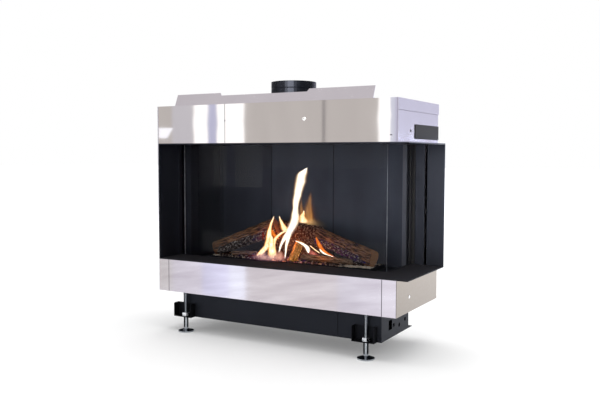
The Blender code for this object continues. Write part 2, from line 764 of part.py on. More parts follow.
def make_frame():
    plate("floor_plate", frame_outline(), [], "z", FLOOR_PLATE_BOTTOM, FLOOR_PLATE_TOP, BLACK_COAT)
    plate("top_plate", frame_outline(), [], "z", TOP_PLATE_BOTTOM, TOP_PLATE_TOP, BLACK_COAT)
    low = FLOOR_PLATE_TOP + GAP
    high = TOP_PLATE_BOTTOM - GAP
    panel_end = PLATE_FRONT + REVEAL_DEPTH
    block(
        "left_reveal_panel",
        (OPENING_LEFT, PLATE_FRONT, low),
        (OPENING_LEFT + PLATE_THICKNESS, panel_end, high),
        BLACK_COAT,
    )
    block(
        "left_glass_post",
        (OPENING_LEFT, panel_end + GAP, low),
        (OPENING_LEFT + POST_THICKNESS, GLASS_FRONT - GAP, high),
        BLACK_COAT,
    )
    face = PLATE_REAR - PLATE_THICKNESS
    panel_start = PLATE_RIGHT - REAR_REVEAL_WIDTH
    folded_sheet(
        "rear_reveal_panel",
        [(panel_start, PLATE_REAR + REAR_REVEAL_RETURN), (panel_start, face), (PLATE_RIGHT, face)],
        low,
        high,
        -PLATE_THICKNESS,
        BLACK_COAT,
    )
    post_start = GLASS_SIDE + GAP
    post_end = panel_start - REAR_REVEAL_GAP
    step = post_start + REAR_POST_STEP
    post_outline = [
        (post_start, GLASS_REAR_EDGE - REAR_POST_STEP_DEPTH),
        (post_start + POST_THICKNESS, GLASS_REAR_EDGE - REAR_POST_STEP_DEPTH),
        (post_start + POST_THICKNESS, GLASS_REAR_EDGE),
        (step, GLASS_REAR_EDGE),
        (step, face - PLATE_THICKNESS),
        (post_end, face - PLATE_THICKNESS),
        (post_end, PLATE_REAR),
        (post_start, PLATE_REAR),
    ]
    plate("rear_glass_post", post_outline, [], "z", low, high, BLACK_COAT)


def corner_strip(front, side, start, end, width):
    """An L in plan: its outer faces at front and side, its two ends at start and end, and its width inwards."""
    return [
        (start, front),
        (side, front),
        (side, end),
        (side - width, end),
        (side - width, front + width),
        (start, front + width),
    ]


def centred(piece):
    """Moves a piece's origin to the middle of its own box, for a pane that slides."""
    corners = [Vector(corner) for corner in piece.bound_box]
    middle = sum(corners, Vector()) / len(corners)
    piece.data.transform(Matrix.Translation(-middle))
    piece.location = Vector(piece.location) + middle
    return piece


def make_glass():
    front_pane = [
        (GLASS_LEFT_EDGE, GLASS_FRONT),
        (GLASS_SIDE - GAP, GLASS_FRONT),
        (GLASS_INNER_SIDE - GAP, GLASS_BACK),
        (GLASS_LEFT_EDGE, GLASS_BACK),
    ]
    side_pane = [
        (GLASS_SIDE, GLASS_FRONT + GAP),
        (GLASS_SIDE, GLASS_REAR_EDGE),
        (GLASS_INNER_SIDE, GLASS_REAR_EDGE),
        (GLASS_INNER_SIDE, GLASS_BACK + GAP),
    ]
    centred(plate("front_glass", front_pane, [], "z", GLASS_BOTTOM, GLASS_TOP, CERAMIC_GLASS))
    centred(plate("side_glass", side_pane, [], "z", GLASS_BOTTOM, GLASS_TOP, CERAMIC_GLASS))
    wide = GASKET_OVERLAP
    bottom = corner_strip(
        GLASS_FRONT - wide,
        GLASS_SIDE + wide,
        GLASS_LEFT_EDGE,
        GLASS_REAR_EDGE,
        GLASS_THICKNESS + 2 * wide,
    )
    plate("bottom_gasket", bottom, [], "z", CHAMBER_FLOOR_TOP + GAP, GLASS_BOTTOM - GAP, GASKET_ROPE)
    top = corner_strip(
        GLASS_BACK + GAP,
        GLASS_INNER_SIDE - GAP,
        GLASS_LEFT_EDGE,
        GLASS_REAR_EDGE,
        GASKET_THICKNESS,
    )
    low = TOP_PLATE_TOP + GAP
    plate("top_gasket", top, [], "z", low, low + TOP_GASKET_HEIGHT, GASKET_ROPE)


def make_chamber():
    shell_end = GLASS_INNER_SIDE
    folded_sheet(
        "chamber_shell",
        [
            (CHAMBER_LEFT + CHAMBER_FLANGE, CHAMBER_FRONT),
            (CHAMBER_LEFT, CHAMBER_FRONT),
            (CHAMBER_LEFT, CHAMBER_REAR),
            (shell_end, CHAMBER_REAR),
        ],
        BASE_TOP + GAP,
        CEILING_BOTTOM - GAP,
        CHAMBER_SHEET,
        CHAMBER_COAT,
    )
    ledge = GLASS_FRONT - GASKET_OVERLAP - GASKET_THICKNESS
    side_ledge = GLASS_SIDE + GASKET_OVERLAP + GASKET_THICKNESS
    floor_start = CHAMBER_LEFT + CHAMBER_FLANGE + GAP
    floor_outline = [
        (floor_start, ledge),
        (side_ledge, ledge),
        (side_ledge, SHELL_INNER_REAR),
        (SHELL_INNER_LEFT, SHELL_INNER_REAR),
        (SHELL_INNER_LEFT, SHELL_INNER_FRONT),
        (floor_start, SHELL_INNER_FRONT),
    ]
    plate("chamber_floor", floor_outline, [], "z", CHAMBER_FLOOR_BOTTOM, CHAMBER_FLOOR_TOP, CHAMBER_COAT)
    lintel_outer = LINTEL_SIDE
    folded_sheet(
        "chamber_lintel",
        [(lintel_outer, SHELL_INNER_REAR), (lintel_outer, CHAMBER_FRONT), (floor_start, CHAMBER_FRONT)],
        TOP_PLATE_BOTTOM,
        CEILING_BOTTOM - GAP,
        CHAMBER_SHEET,
        CHAMBER_COAT,
    )
    ceiling = rectangle((CHAMBER_LEFT, CHAMBER_FRONT), (shell_end, CHAMBER_REAR))
    pipe_hole = circle((FLUE_U, FLUE_V), PIPE_RADIUS - PIPE_WALL, FLUE_STEPS)
    plate("chamber_ceiling", ceiling, [pipe_hole], "z", CEILING_BOTTOM, CEILING_TOP, CHAMBER_COAT)

    low = CHAMBER_FLOOR_TOP + GAP
    high = CEILING_BOTTOM - GAP
    corner = LINER_FACE_LEFT + LINER_RETURN
    groove = SHELL_INNER_FRONT + LINER_GROOVE_INSET
    left_outline = [
        (SHELL_INNER_LEFT, SHELL_INNER_FRONT),
        (LINER_FACE_LEFT, SHELL_INNER_FRONT),
        (LINER_FACE_LEFT, groove),
        (LINER_FACE_LEFT - LINER_GROOVE, groove),
        (LINER_FACE_LEFT - LINER_GROOVE, groove + LINER_GROOVE),
        (LINER_FACE_LEFT, groove + LINER_GROOVE),
        (LINER_FACE_LEFT, LINER_FACE_REAR),
        (corner, LINER_FACE_REAR),
        (corner, SHELL_INNER_REAR),
        (SHELL_INNER_LEFT, SHELL_INNER_REAR),
    ]
    plate("left_liner", left_outline, [], "z", low, high, CHAMBER_COAT)
    right_end = LINTEL_SIDE - CHAMBER_SHEET - GAP
    starts = [corner, *(corner + (right_end - corner) * share for share in LINER_SEAM_SHARES)]
    for name, start, end in zip(("left", "middle", "right"), starts, starts[1:]):
        block(
            "rear_liner_" + name,
            (start + GAP, LINER_FACE_REAR, low),
            (end, SHELL_INNER_REAR, high),
            CHAMBER_COAT,
        )
    block(
        "rear_corner_trim",
        (starts[-1] + GAP, LINER_FACE_REAR - CORNER_TRIM_PROUD, low),
        (right_end, SHELL_INNER_REAR, high),
        CHAMBER_COAT,
    )


def make_flue():
    box_rear = BACK_PANEL_FACE - CASING_SHEET - GAP
    air_box = open_box(
        "air_box",
        (FLUE_U - AIR_BOX_WIDTH / 2, FLUE_V - COLLAR_RADIUS - AIR_BOX_MARGIN, CEILING_TOP + GAP),
        (FLUE_U + AIR_BOX_WIDTH / 2, box_rear, AIR_BOX_TOP),
        [(0, 1, 0)],
        CASING_SHEET,
        GALVANISED,
    )
    drill(air_box, (FLUE_U, FLUE_V, CEILING_TOP), PIPE_RADIUS + RUNNING_GAP, "z", 2 * OVERRUN, FLUE_STEPS)
    bore = COLLAR_RADIUS - COLLAR_WALL
    drill(air_box, (FLUE_U, FLUE_V, AIR_BOX_TOP), bore, "z", 2 * OVERRUN, FLUE_STEPS)
    seat = AIR_BOX_TOP + GAP
    collar_height = FLUE_TOP - seat
    bead = collar_height - COLLAR_BEAD_DROP
    collar = [
        (bore, collar_height),
        (COLLAR_RADIUS, collar_height),
        (COLLAR_RADIUS, bead + COLLAR_BEAD),
        (COLLAR_RADIUS - COLLAR_BEAD / 2, bead),
        (COLLAR_RADIUS, bead - COLLAR_BEAD),
        (COLLAR_RADIUS, 0),
        (bore, 0),
    ]
    turned("outer_flue_collar", collar, (FLUE_U, FLUE_V, seat), BLACK_COAT, FLUE_STEPS)
    pipe_seat = CEILING_TOP + GAP
    pipe_height = FLUE_TOP - PIPE_SINK - pipe_seat
    pipe = [
        (PIPE_RADIUS - PIPE_WALL, pipe_height),
        (PIPE_RADIUS, pipe_height),
        (PIPE_RADIUS, 0),
        (PIPE_RADIUS - PIPE_WALL, 0),
    ]
    turned("inner_flue_pipe", pipe, (FLUE_U, FLUE_V, pipe_seat), ZINC, FLUE_STEPS)


def log_cone(start, end, radii, thickness_share, extra):
    """A plain tapering log, as a bmesh about its own middle, with its place and turn."""
    along = Vector(end) - Vector(start)
    shape = bmesh.new()
    bmesh.ops.create_cone(
        shape,
        cap_ends=True,
        segments=LOG_SIDES,
        radius1=radii[0] + extra,
        radius2=radii[1] + extra,
        depth=along.length + 2 * extra,
    )
    bmesh.ops.scale(shape, vec=(thickness_share, 1, 1), verts=shape.verts)
    return shape, (Vector(start) + Vector(end)) / 2, along.to_track_quat("Z", "Y")


def rough_log(name, start, end, radii, thickness_share, seed):
    """A log whose rough skin stays inside its plain cone, so that it can rest in a seat of that shape."""
    shape, middle, turn = log_cone(start, end, radii, thickness_share, 0)
    long_edges = [e for e in shape.edges if abs(e.verts[0].co.z - e.verts[1].co.z) > WELD]
    bmesh.ops.subdivide_edges(shape, edges=long_edges, cuts=LOG_RINGS, use_grid_fill=True)
    for vert in shape.verts:
        lump = noise.noise(vert.co / LOG_LUMP_SPACING + Vector((seed, seed, seed)))
        inward = 1 - LOG_ROUGH_SHARE * max(0, lump)
        vert.co.x *= inward
        vert.co.y *= inward
    made = from_bmesh(name, shape, CHARRED_CERAMIC, middle)
    made.rotation_mode = "QUATERNION"
    made.rotation_quaternion = turn
    return smooth(made)


def seat_for_log(piece, name, start, end, radii, thickness_share):
    """Cuts the hollow that a log lies in."""
    shape, middle, turn = log_cone(start, end, radii, thickness_share, LOG_SEAT)
    tool = from_bmesh(name, shape, None, middle)
    tool.rotation_mode = "QUATERNION"
    tool.rotation_quaternion = turn
    return cut(piece, tool)


def log_form(place_shares, rises, radii, thickness_share):
    """A log's two ends, its radii and its thickness share, from its place on the tray."""
    ends = []
    for (along, across), rise in zip(place_shares, rises):
        u = TRAY_START + (TRAY_END - TRAY_START) * along
        ends.append((u, TRAY_FRONT + (TRAY_REAR - TRAY_FRONT) * across, FUEL_BED_TOP + rise))
    return (*ends, radii, thickness_share)


def make_fire():
    open_box(
        "burner_tray",
        (TRAY_START, TRAY_FRONT, TRAY_BOTTOM),
        (TRAY_END, TRAY_REAR, TRAY_TOP),
        [(0, 0, 1)],
        TRAY_WALL,
        CHAMBER_COAT,
    )
    inset = TRAY_WALL + GAP
    bed_low = (TRAY_START + inset, TRAY_FRONT + inset, TRAY_BOTTOM + inset)
    bed_high = (TRAY_END - inset, TRAY_REAR - inset, FUEL_BED_TOP)
    shape, middle = box_shape(bed_low, bed_high)
    for across, cuts in ((0, BED_CUTS_ALONG), (1, BED_CUTS_ACROSS)):
        chosen = [e for e in shape.edges if abs(e.verts[0].co[across] - e.verts[1].co[across]) > WELD]
        bmesh.ops.subdivide_edges(shape, edges=chosen, cuts=cuts, use_grid_fill=True)
    for vert in shape.verts:
        if vert.co.z > 0:
            vert.co.z -= BED_LUMP * abs(noise.noise(vert.co / BED_LUMP_SPACING))
    bed = from_bmesh("ember_bed", shape, EMBER, middle)

    stump_shape = log_form(STUMP_PLACE_SHARES, STUMP_RISES, STUMP_RADII, STUMP_THICKNESS_SHARE)
    stump = rough_log("charred_stump", *stump_shape, 3)
    left = log_form(LEFT_LOG_PLACE_SHARES, LEFT_LOG_RISES, LEFT_LOG_RADII, SPLIT_THICKNESS_SHARE)
    right = log_form(RIGHT_LOG_PLACE_SHARES, RIGHT_LOG_RISES, RIGHT_LOG_RADII, SPLIT_THICKNESS_SHARE)
    stump_front = min(end[1] for end in stump_shape[:2]) - max(STUMP_RADII) * STUMP_THICKNESS_SHARE
    split_top = stump_front - SPLIT_LOG_RADII[1] - SPLIT_LOG_SPACE
    split_foot = split_top - (TRAY_REAR - TRAY_FRONT) * SPLIT_LOG_LEAN_SHARE
    split_ends = []
    for along, v, rise in zip(SPLIT_LOG_ALONG_SHARES, (split_foot, split_top), SPLIT_LOG_RISES):
        split_ends.append((TRAY_START + (TRAY_END - TRAY_START) * along, v, FUEL_BED_TOP + rise))
    logs = [
        ("left_log", *left),
        ("right_log", *right),
        ("front_log", *log_form(FRONT_LOG_PLACE_SHARES, FRONT_LOG_RISES, FRONT_LOG_RADII, ROUND_SHARE)),
        ("split_log", *split_ends, SPLIT_LOG_RADII, ROUND_SHARE),
        ("kindling_log", *log_form(KINDLING_PLACE_SHARES, KINDLING_RISES, KINDLING_RADII, ROUND_SHARE)),
    ]
    seat_for_log(bed, "stump_seat", *stump_shape)
    for seed, (name, *form) in enumerate(logs):
        rough_log(name, *form, seed)
        seat_for_log(bed, name + "_bed_seat", *form)
    for name, *form in logs[:2]:
        seat_for_log(stump, name + "_stump_seat", *form)

    foot_low = CHAMBER_FLOOR_TOP + GAP
    pilot = block(
        "pilot_burner",
        (PILOT_U - PILOT_FOOT / 2, PILOT_V - PILOT_FOOT / 2, foot_low),
        (PILOT_U + PILOT_FOOT / 2, PILOT_V + PILOT_FOOT / 2, foot_low + PILOT_FOOT_THICKNESS),
        ZINC,
    )
    stem_low = foot_low + PILOT_FOOT_THICKNESS / 2
    stem = turned(
        "pilot_stem",
        [(0, PILOT_HEIGHT), (PILOT_RADIUS, PILOT_HEIGHT), (PILOT_RADIUS, 0), (0, 0)],
        (PILOT_U, PILOT_V, stem_low),
        None,
    )
    hood_middle = foot_low + PILOT_HEIGHT
    hood = block(
        "pilot_hood",
        (PILOT_U - PILOT_HOOD, PILOT_V - PILOT_RADIUS / 2, hood_middle - PILOT_RADIUS),
        (PILOT_U, PILOT_V + PILOT_RADIUS / 2, hood_middle - PILOT_RADIUS / 2),
        None,
    )
    join(join(pilot, stem), hood)


def make_base_box():
    box = open_box(
        "base_box",
        (BASE_BOX_START, BASE_BOX_FRONT, BASE_BOX_CLEARANCE),
        (BASE_BOX_END, BASE_BOX_REAR, BASE_BOX_TOP),
        [(0, 0, 1)],
        BASE_BOX_SHEET,
        BLACK_COAT,
    )
    cover_low = BASE_BOX_CLEARANCE + COVER_RISE
    cover_high = cover_low + COVER_HEIGHT
    window = block(
        "cover_window",
        (COVER_START + COVER_MARGIN, BASE_BOX_FRONT - OVERRUN, cover_low + COVER_MARGIN),
        (COVER_END - COVER_MARGIN, BASE_BOX_FRONT + OVERRUN, cover_high - COVER_MARGIN),
        None,
    )
    cut(box, window)
    slot_low = BASE_BOX_CLEARANCE + SLOT_RISE
    side_slot = block(
        "inlet_slot",
        (BASE_BOX_END - OVERRUN, SLOT_AT - SLOT_WIDTH / 2, slot_low),
        (BASE_BOX_END + OVERRUN, SLOT_AT + SLOT_WIDTH / 2, slot_low + SLOT_HEIGHT),
        None,
    )
    cut(box, side_slot)
    for inset, rise in zip(CABLE_HOLE_INSETS, CABLE_HOLE_RISES):
        hole = (BASE_BOX_END, BASE_BOX_FRONT + inset, BASE_BOX_CLEARANCE + rise)
        drill(box, hole, CABLE_HOLE_RADIUS, "u", 2 * OVERRUN)
    tail = block(
        "base_tail",
        (BASE_BOX_END - BASE_TAIL_WIDTH, BASE_BOX_REAR - BASE_BOX_SHEET, BASE_BOX_CLEARANCE),
        (BASE_BOX_END, BASE_BOX_REAR + BASE_TAIL_DEPTH, BASE_BOX_CLEARANCE + BASE_BOX_SHEET),
        None,
    )
    join(box, tail)

    cover_face = BASE_BOX_FRONT - GAP - BASE_BOX_SHEET
    cover = plate(
        "base_box_cover",
        rectangle((COVER_START, cover_low), (COVER_END, cover_high)),
        [],
        "v",
        cover_face,
        cover_face + BASE_BOX_SHEET,
        BLACK_COAT,
    )
    reach = (COVER_END - COVER_START - 2 * COVER_SCREW_INSET) / (COVER_SCREWS_ALONG - 1)
    places = [
        (COVER_START + COVER_SCREW_INSET, cover_high - COVER_SCREW_INSET),
        (COVER_END - COVER_SCREW_INSET, cover_high - COVER_SCREW_INSET),
    ]
    for i in range(COVER_SCREWS_ALONG):
        places.append((COVER_START + COVER_SCREW_INSET + i * reach, cover_low + COVER_SCREW_INSET))
    for i, (u, z) in enumerate(places):
        head = turned(
            "cover_screw_" + str(i),
            [
                (0, COVER_SCREW_HEIGHT),
                (COVER_SCREW_RADIUS, COVER_SCREW_HEIGHT / 2),
                (COVER_SCREW_RADIUS, -BASE_BOX_SHEET / 2),
                (0, -BASE_BOX_SHEET / 2),
            ],
            (u, cover_face, z),
            None,
            ROUND_STEPS // 2,
            (0, -1, 0),
        )
        join(cover, head)


def make_controls():
    valve_low = BASE_BOX_FLOOR
    valve_front = VALVE_V
    valve = block(
        "gas_valve",
        (VALVE_U - VALVE_LENGTH / 2, valve_front, valve_low),
        (VALVE_U + VALVE_LENGTH / 2, valve_front + VALVE_DEPTH, valve_low + VALVE_HEIGHT),
        ALUMINIUM,
    )
    motor_place = (VALVE_U - VALVE_LENGTH / 4, valve_front, valve_low + VALVE_HEIGHT / 2)
    motor = turned(
        "valve_motor",
        [
            (0, VALVE_MOTOR_LENGTH),
            (VALVE_MOTOR_RADIUS, VALVE_MOTOR_LENGTH),
            (VALVE_MOTOR_RADIUS, -OVERRUN),
            (0, -OVERRUN),
        ],
        motor_place,
        None,
        ROUND_STEPS,
        (0, -1, 0),
    )
    join(valve, motor)
    knob_axis = (VALVE_U + VALVE_LENGTH / 4, valve_front - GAP, valve_low + VALVE_HEIGHT / 2)
    grips = []
    for i in range(2 * KNOB_GRIPS):
        turn = math.pi * i / KNOB_GRIPS
        reach = KNOB_RADIUS - (i % 2) * KNOB_GRIP_DEPTH
        grips.append((reach * math.cos(turn), reach * math.sin(turn)))
    knob_middle = knob_axis[1] - KNOB_STEM_LENGTH - KNOB_LENGTH / 2
    knob = plate("valve_knob", grips, [], "v", -KNOB_LENGTH / 2, KNOB_LENGTH / 2, PLASTIC)
    knob.location = (knob_axis[0], knob_middle, knob_axis[2])
    stem = turned(
        "knob_stem",
        [
            (0, KNOB_STEM_LENGTH + OVERRUN),
            (KNOB_STEM_RADIUS, KNOB_STEM_LENGTH + OVERRUN),
            (KNOB_STEM_RADIUS, 0),
            (0, 0),
        ],
        knob_axis,
        None,
        ROUND_STEPS,
        (0, -1, 0),
    )
    join(knob, stem)

    pipe_z = BASE_BOX_CLEARANCE + SLOT_RISE + SLOT_HEIGHT / 2
    tap_start = TAP_U - TAP_LENGTH / 2
    inlet_low = valve_low + VALVE_HEIGHT / 2
    inlet_v = valve_front + VALVE_DEPTH / 2
    inlet_start = (VALVE_U + VALVE_LENGTH / 2 + GAP, inlet_v, inlet_low)
    inlet_end = (tap_start - GAP, SLOT_AT, pipe_z)
    middle = (inlet_start[0] + inlet_end[0]) / 2
    first = (middle, inlet_v, inlet_low)
    second = (middle, SLOT_AT, pipe_z)
    route = [
        Vector(inlet_start),
        *bend(inlet_start, first, second, PIPE_HEIGHT / 3),
        *bend(first, second, inlet_end, PIPE_HEIGHT / 3),
        Vector(inlet_end),
    ]
    tube("inlet_pipe", route, GAS_PIPE_RADIUS, COPPER)

    tap_profile = [
        (0, TAP_LENGTH),
        (TAP_NUT_RADIUS, TAP_LENGTH),
        (TAP_NUT_RADIUS, TAP_LENGTH - TAP_NUT_LENGTH),
        (TAP_RADIUS, TAP_LENGTH - TAP_NUT_LENGTH),
        (TAP_RADIUS, TAP_NUT_LENGTH),
        (TAP_NUT_RADIUS, TAP_NUT_LENGTH),
        (TAP_NUT_RADIUS, 0),
        (0, 0),
    ]
    tap = turned("gas_tap", tap_profile, (tap_start, SLOT_AT, pipe_z), BRASS, ROUND_STEPS, (1, 0, 0))
    boss = turned(
        "tap_boss",
        [(0, TAP_BOSS_HEIGHT), (TAP_BOSS_RADIUS, TAP_BOSS_HEIGHT), (TAP_BOSS_RADIUS, 0), (0, 0)],
        (TAP_U, SLOT_AT, pipe_z),
        None,
    )
    join(tap, boss)
    lever_low = pipe_z + TAP_BOSS_HEIGHT + GAP
    half = LEVER_WIDTH / 2
    lever = plate(
        "tap_lever",
        [(-LEVER_LENGTH, -half), (half, -half), (half, half), (-LEVER_LENGTH, half)],
        [],
        "z",
        0,
        LEVER_THICKNESS,
        PLASTIC,
    )
    lever.location = (TAP_U, SLOT_AT, lever_low + LEVER_THICKNESS / 2)

    supply_start = (VALVE_U, inlet_v, valve_low + VALVE_HEIGHT + GAP)
    supply_turn = (VALVE_U, inlet_v, BASE_TOP + SUPPLY_BEND)
    supply_back = (VALVE_U - SUPPLY_SHIFT, inlet_v + SUPPLY_BACK, BASE_TOP + SUPPLY_BEND)
    supply_end = (supply_back[0], supply_back[1], CHAMBER_FLOOR_BOTTOM - GAP)
    route = [
        Vector(supply_start),
        *bend(supply_start, supply_turn, supply_back, SUPPLY_BEND),
        *bend(supply_turn, supply_back, supply_end, SUPPLY_BEND),
        Vector(supply_end),
    ]
    tube("supply_pipe", route, GAS_PIPE_RADIUS, COPPER)


def make_foot(name, place, rear):
    """A folded bracket with a welded nut, screwed to the base box, and the screwed foot in it."""
    u, v = place
    if rear:
        wall = BASE_BOX_REAR + GAP
        low_v, high_v = wall, wall + BRACKET_DEPTH
        open_front = (0, 1, 0)
    else:
        wall = BASE_BOX_FRONT - GAP
        low_v, high_v = wall - BRACKET_DEPTH, wall
        open_front = (0, -1, 0)
    top = BRACKET_BOTTOM + BRACKET_HEIGHT
    bracket = open_box(
        name + "_bracket",
        (u - BRACKET_SHIFT - BRACKET_WIDTH / 2, low_v, BRACKET_BOTTOM),
        (u - BRACKET_SHIFT + BRACKET_WIDTH / 2, high_v, top),
        [open_front, (0, 0, 1)],
        BRACKET_SHEET,
        BLACK_COAT,
    )
    corner_v = high_v if rear else low_v
    side = BRACKET_CHAMFER * math.sqrt(2)
    reach = BRACKET_WIDTH / 2 + BRACKET_SHIFT + OVERRUN
    chamfer = block(
        name + "_chamfer",
        (u - reach, corner_v - side / 2, top - side / 2),
        (u + reach, corner_v + side / 2, top + side / 2),
        None,
    )
    chamfer.rotation_euler = (math.pi / 4, 0, 0)
    cut(bracket, chamfer)
    nut_low = BRACKET_BOTTOM + BRACKET_SHEET / 2
    nut = turned(
        name + "_nut",
        [(0, NUT_HEIGHT), (NUT_CORNER_RADIUS, NUT_HEIGHT), (NUT_CORNER_RADIUS, 0), (0, 0)],
        (u, v, nut_low),
        None,
        HEX_SIDES,
    )
    join(bracket, nut)
    drill(bracket, (u, v, BRACKET_BOTTOM + NUT_HEIGHT / 2), SCREW_RADIUS + RUNNING_GAP, "z", 2 * NUT_HEIGHT)

    screw_top = BRACKET_BOTTOM + SCREW_ABOVE_BRACKET
    profile = [
        (0, screw_top),
        (SCREW_RADIUS, screw_top),
        (SCREW_RADIUS, STEM_TOP),
        (STEM_RADIUS, STEM_TOP),
        (STEM_RADIUS, PAD_EDGE + PAD_CONE),
        (PAD_RADIUS, PAD_EDGE),
        (PAD_RADIUS, 0),
        (0, 0),
    ]
    turned(name, profile, (u, v, 0), ZINC)


make_casing()
make_lid_flange()
make_frame()
make_glass()
make_chamber()
make_flue()
make_fire()
make_base_box()
make_controls()
foot_names = ("front_left_foot", "front_right_foot", "rear_left_foot", "rear_right_foot")
for index, (foot_name, foot_place) in enumerate(zip(foot_names, foot_places())):
    make_foot(foot_name, foot_place, index > 1)
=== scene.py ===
"""Studio picture of a built-in corner gas fire: its finishes, burning logs, small hardware, light and camera."""

import math
import random

import bmesh
import bpy
import numpy as np
from mathutils import Matrix, Vector, noise


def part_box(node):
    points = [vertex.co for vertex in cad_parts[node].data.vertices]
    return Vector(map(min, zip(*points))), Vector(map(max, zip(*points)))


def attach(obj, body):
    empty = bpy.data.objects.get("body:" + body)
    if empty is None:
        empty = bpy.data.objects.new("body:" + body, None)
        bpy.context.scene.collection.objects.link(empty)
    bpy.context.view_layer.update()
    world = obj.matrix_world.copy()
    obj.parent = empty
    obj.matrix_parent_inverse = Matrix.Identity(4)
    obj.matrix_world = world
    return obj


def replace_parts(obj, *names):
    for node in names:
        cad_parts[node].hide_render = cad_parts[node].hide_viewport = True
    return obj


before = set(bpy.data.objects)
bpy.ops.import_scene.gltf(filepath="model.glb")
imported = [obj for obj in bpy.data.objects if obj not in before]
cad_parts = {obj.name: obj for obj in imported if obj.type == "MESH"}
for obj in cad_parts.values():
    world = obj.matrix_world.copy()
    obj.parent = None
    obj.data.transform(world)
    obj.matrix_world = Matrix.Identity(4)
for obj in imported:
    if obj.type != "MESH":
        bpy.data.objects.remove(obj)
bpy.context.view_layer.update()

MM = 0.001

# The casing's lower left front corner in the frame, so that places can be given as on the drawing: along, back, up
CASING_CORNER = Vector((-0.4625, -0.1715, 0.0))

# Camera: its place in metres, its angles in degrees, and its lens and sensor in millimetres
CAMERA_PLACE = (1.2067, -2.0976, 0.6101)
CAMERA_TURN = 29.74
CAMERA_DIP = 3.58
CAMERA_ROLL = 0.124
LENS = 43.23
SENSOR = 36

# Fuel bed: squares of its ground along and back, where along it is hottest and how far that reaches, seeds of the
# random draws, how many granules, sizes of granules and chips, and the grid that bark is worked on, in millimetres
BED_GRID = (80, 18)
BED_HEAT = 425
BED_HEAT_REACH = 90
LUMP_SEED = 11
LUMP_COUNT = 1500
LUMP_SIZES = (2.2, 5.0)
CHIP_SEED = 4
CHIP_SIZES = (3.5, 7.5)
CHIP_LIFT = 3.5
LOG_VOXEL = 2.2

# Flames: corners and rings of a shell, how many shells, their widest and narrowest share, and depth for width
FLAME_SIDES = 12
FLAME_RINGS = 28
FLAME_SHELLS = 9
FLAME_SPREAD = (1.2, 0.4)
FLAME_THICKNESS = 0.5

# Sheet metal: the lid's turned-down lip, the lean of the rolling streaks, and how far the dark seam strips, painted
# shade of the gaps between sheets, stand proud and stop short of a sheet's ends
LID_LIP = 34
STREAK_LEAN = math.radians(9)
SEAM_SHADE_PROUD = 0.25
SEAM_SHADE_GAP = 0.3

# Feet and their nuts: where the thread starts, in metres, and the nut's steps round, height over its bracket's lower
# edge, height and radius of each ring up the outside and down the bore, and the widest bore, in millimetres
CORNERS = ("front_left", "front_right", "rear_left", "rear_right")
THREAD_START = 0.0505
NUT_SIDES = 24
NUT_LIFT = 2.1
NUT_RINGS = ((0.0, 12.0), (0.9, 13.4), (12.6, 13.4), (13.5, 12.0), (13.5, 5.6), (0.0, 5.6))
NUT_BORE = 6

# Dark boards round a polished foot: angles from the camera's direction, and distance and heights in metres
FOOT_SHADE_ANGLES = (36, 80, 120, 165)
FOOT_SHADE_REACH = 0.045
FOOT_SHADE_LOW = 0.006
FOOT_SHADE_TOP = 0.049

# How far in front of the casing cards stand, in metres: most behind the camera, those for the lower band near
FAR_CARDS = 2.43
LOW_CARDS = 0.55

# Upright cards as the front mirrors them: their ends, the height where they bend, and how far the bend spreads, in mm
CARD_LOW = 500
CARD_HIGH = 900
CARD_BEND = 714
CARD_BEND_SPREAD = 40

# Half the width of the studio's floor, in metres
FLOOR_REACH = 30

# The studio's walls in reflections, as shares of a turn round the room from behind the object, by its left
ROOM_WALLS = (
    (0.0, "#d4d3e2"), (0.06, "#b0b0ba"), (0.20, "#6c6c72"), (0.31, "#77767a"), (0.355, "#d2cdca"), (0.46, "#d4cfcc"),
    (0.56, "#f4f4f6"), (0.62, "#d0d0d4"), (0.70, "#6a6a70"), (0.89, "#56565c"), (0.93, "#e6e4f6"), (1.0, "#d4d3e2"),
)


def at(along, back, up):
    """A place on the drawing, in millimetres from the casing's corner, in the frame's metres."""
    return CASING_CORNER + Vector((along, back, up)) * MM


def on_drawing(place):
    """A place in the frame as millimetres along, back and up from the casing's corner."""
    return (place - CASING_CORNER) / MM


def drawn_box(node):
    """The low and high corner of a part's box on the drawing."""
    return [on_drawing(corner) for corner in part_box(node)]


def linear(code):
    """An sRGB hex colour as linear red, green, blue and alpha."""
    parts = [int(code[start : start + 2], 16) / 255 for start in (1, 3, 5)]
    return [part / 12.92 if part <= 0.04045 else ((part + 0.055) / 1.055) ** 2.4 for part in parts] + [1.0]


def add(tree, kind, inputs=None, tones=(), **settings):
    """Adds a node with its settings and links.

    An input is a value, an output to link, or a node whose first output in use is linked. Tones are the places and
    hex colours of a ramp."""
    made = tree.nodes.new("ShaderNode" + kind)
    for name, value in settings.items():
        setattr(made, name, value)
    for name, value in (inputs or {}).items():
        if isinstance(value, bpy.types.Node):
            value = next(output for output in value.outputs if output.enabled)
        if isinstance(value, bpy.types.NodeSocket):
            tree.links.new(value, made.inputs[name])
        else:
            made.inputs[name].default_value = value
    if tones:
        ramp = made.color_ramp.elements
        for end in (0, -1):
            ramp[end].position, ramp[end].color = tones[end][0], linear(tones[end][1])
        for place, tone in tones[1:-1]:
            ramp.new(place).color = linear(tone)
    return made


def blank(name):
    """A new material without nodes."""
    made = bpy.data.materials.new(name)
    made.use_nodes = True
    made.node_tree.nodes.clear()
    return made, made.node_tree


def surfaced(made, sockets, height=None, depth=0.0):
    """Gives a material its surface, with relief of that depth in millimetres where a height is given."""
    tree = made.node_tree
    if height is not None:
        sockets = {**sockets, "Normal": add(tree, "Bump", {"Height": height, "Distance": depth * MM})}
    add(tree, "OutputMaterial", {"Surface": add(tree, "BsdfPrincipled", sockets)})
    return made


def per(size):
    """The texture scale that makes a feature of that size in millimetres."""
    return 1 / (size * MM)


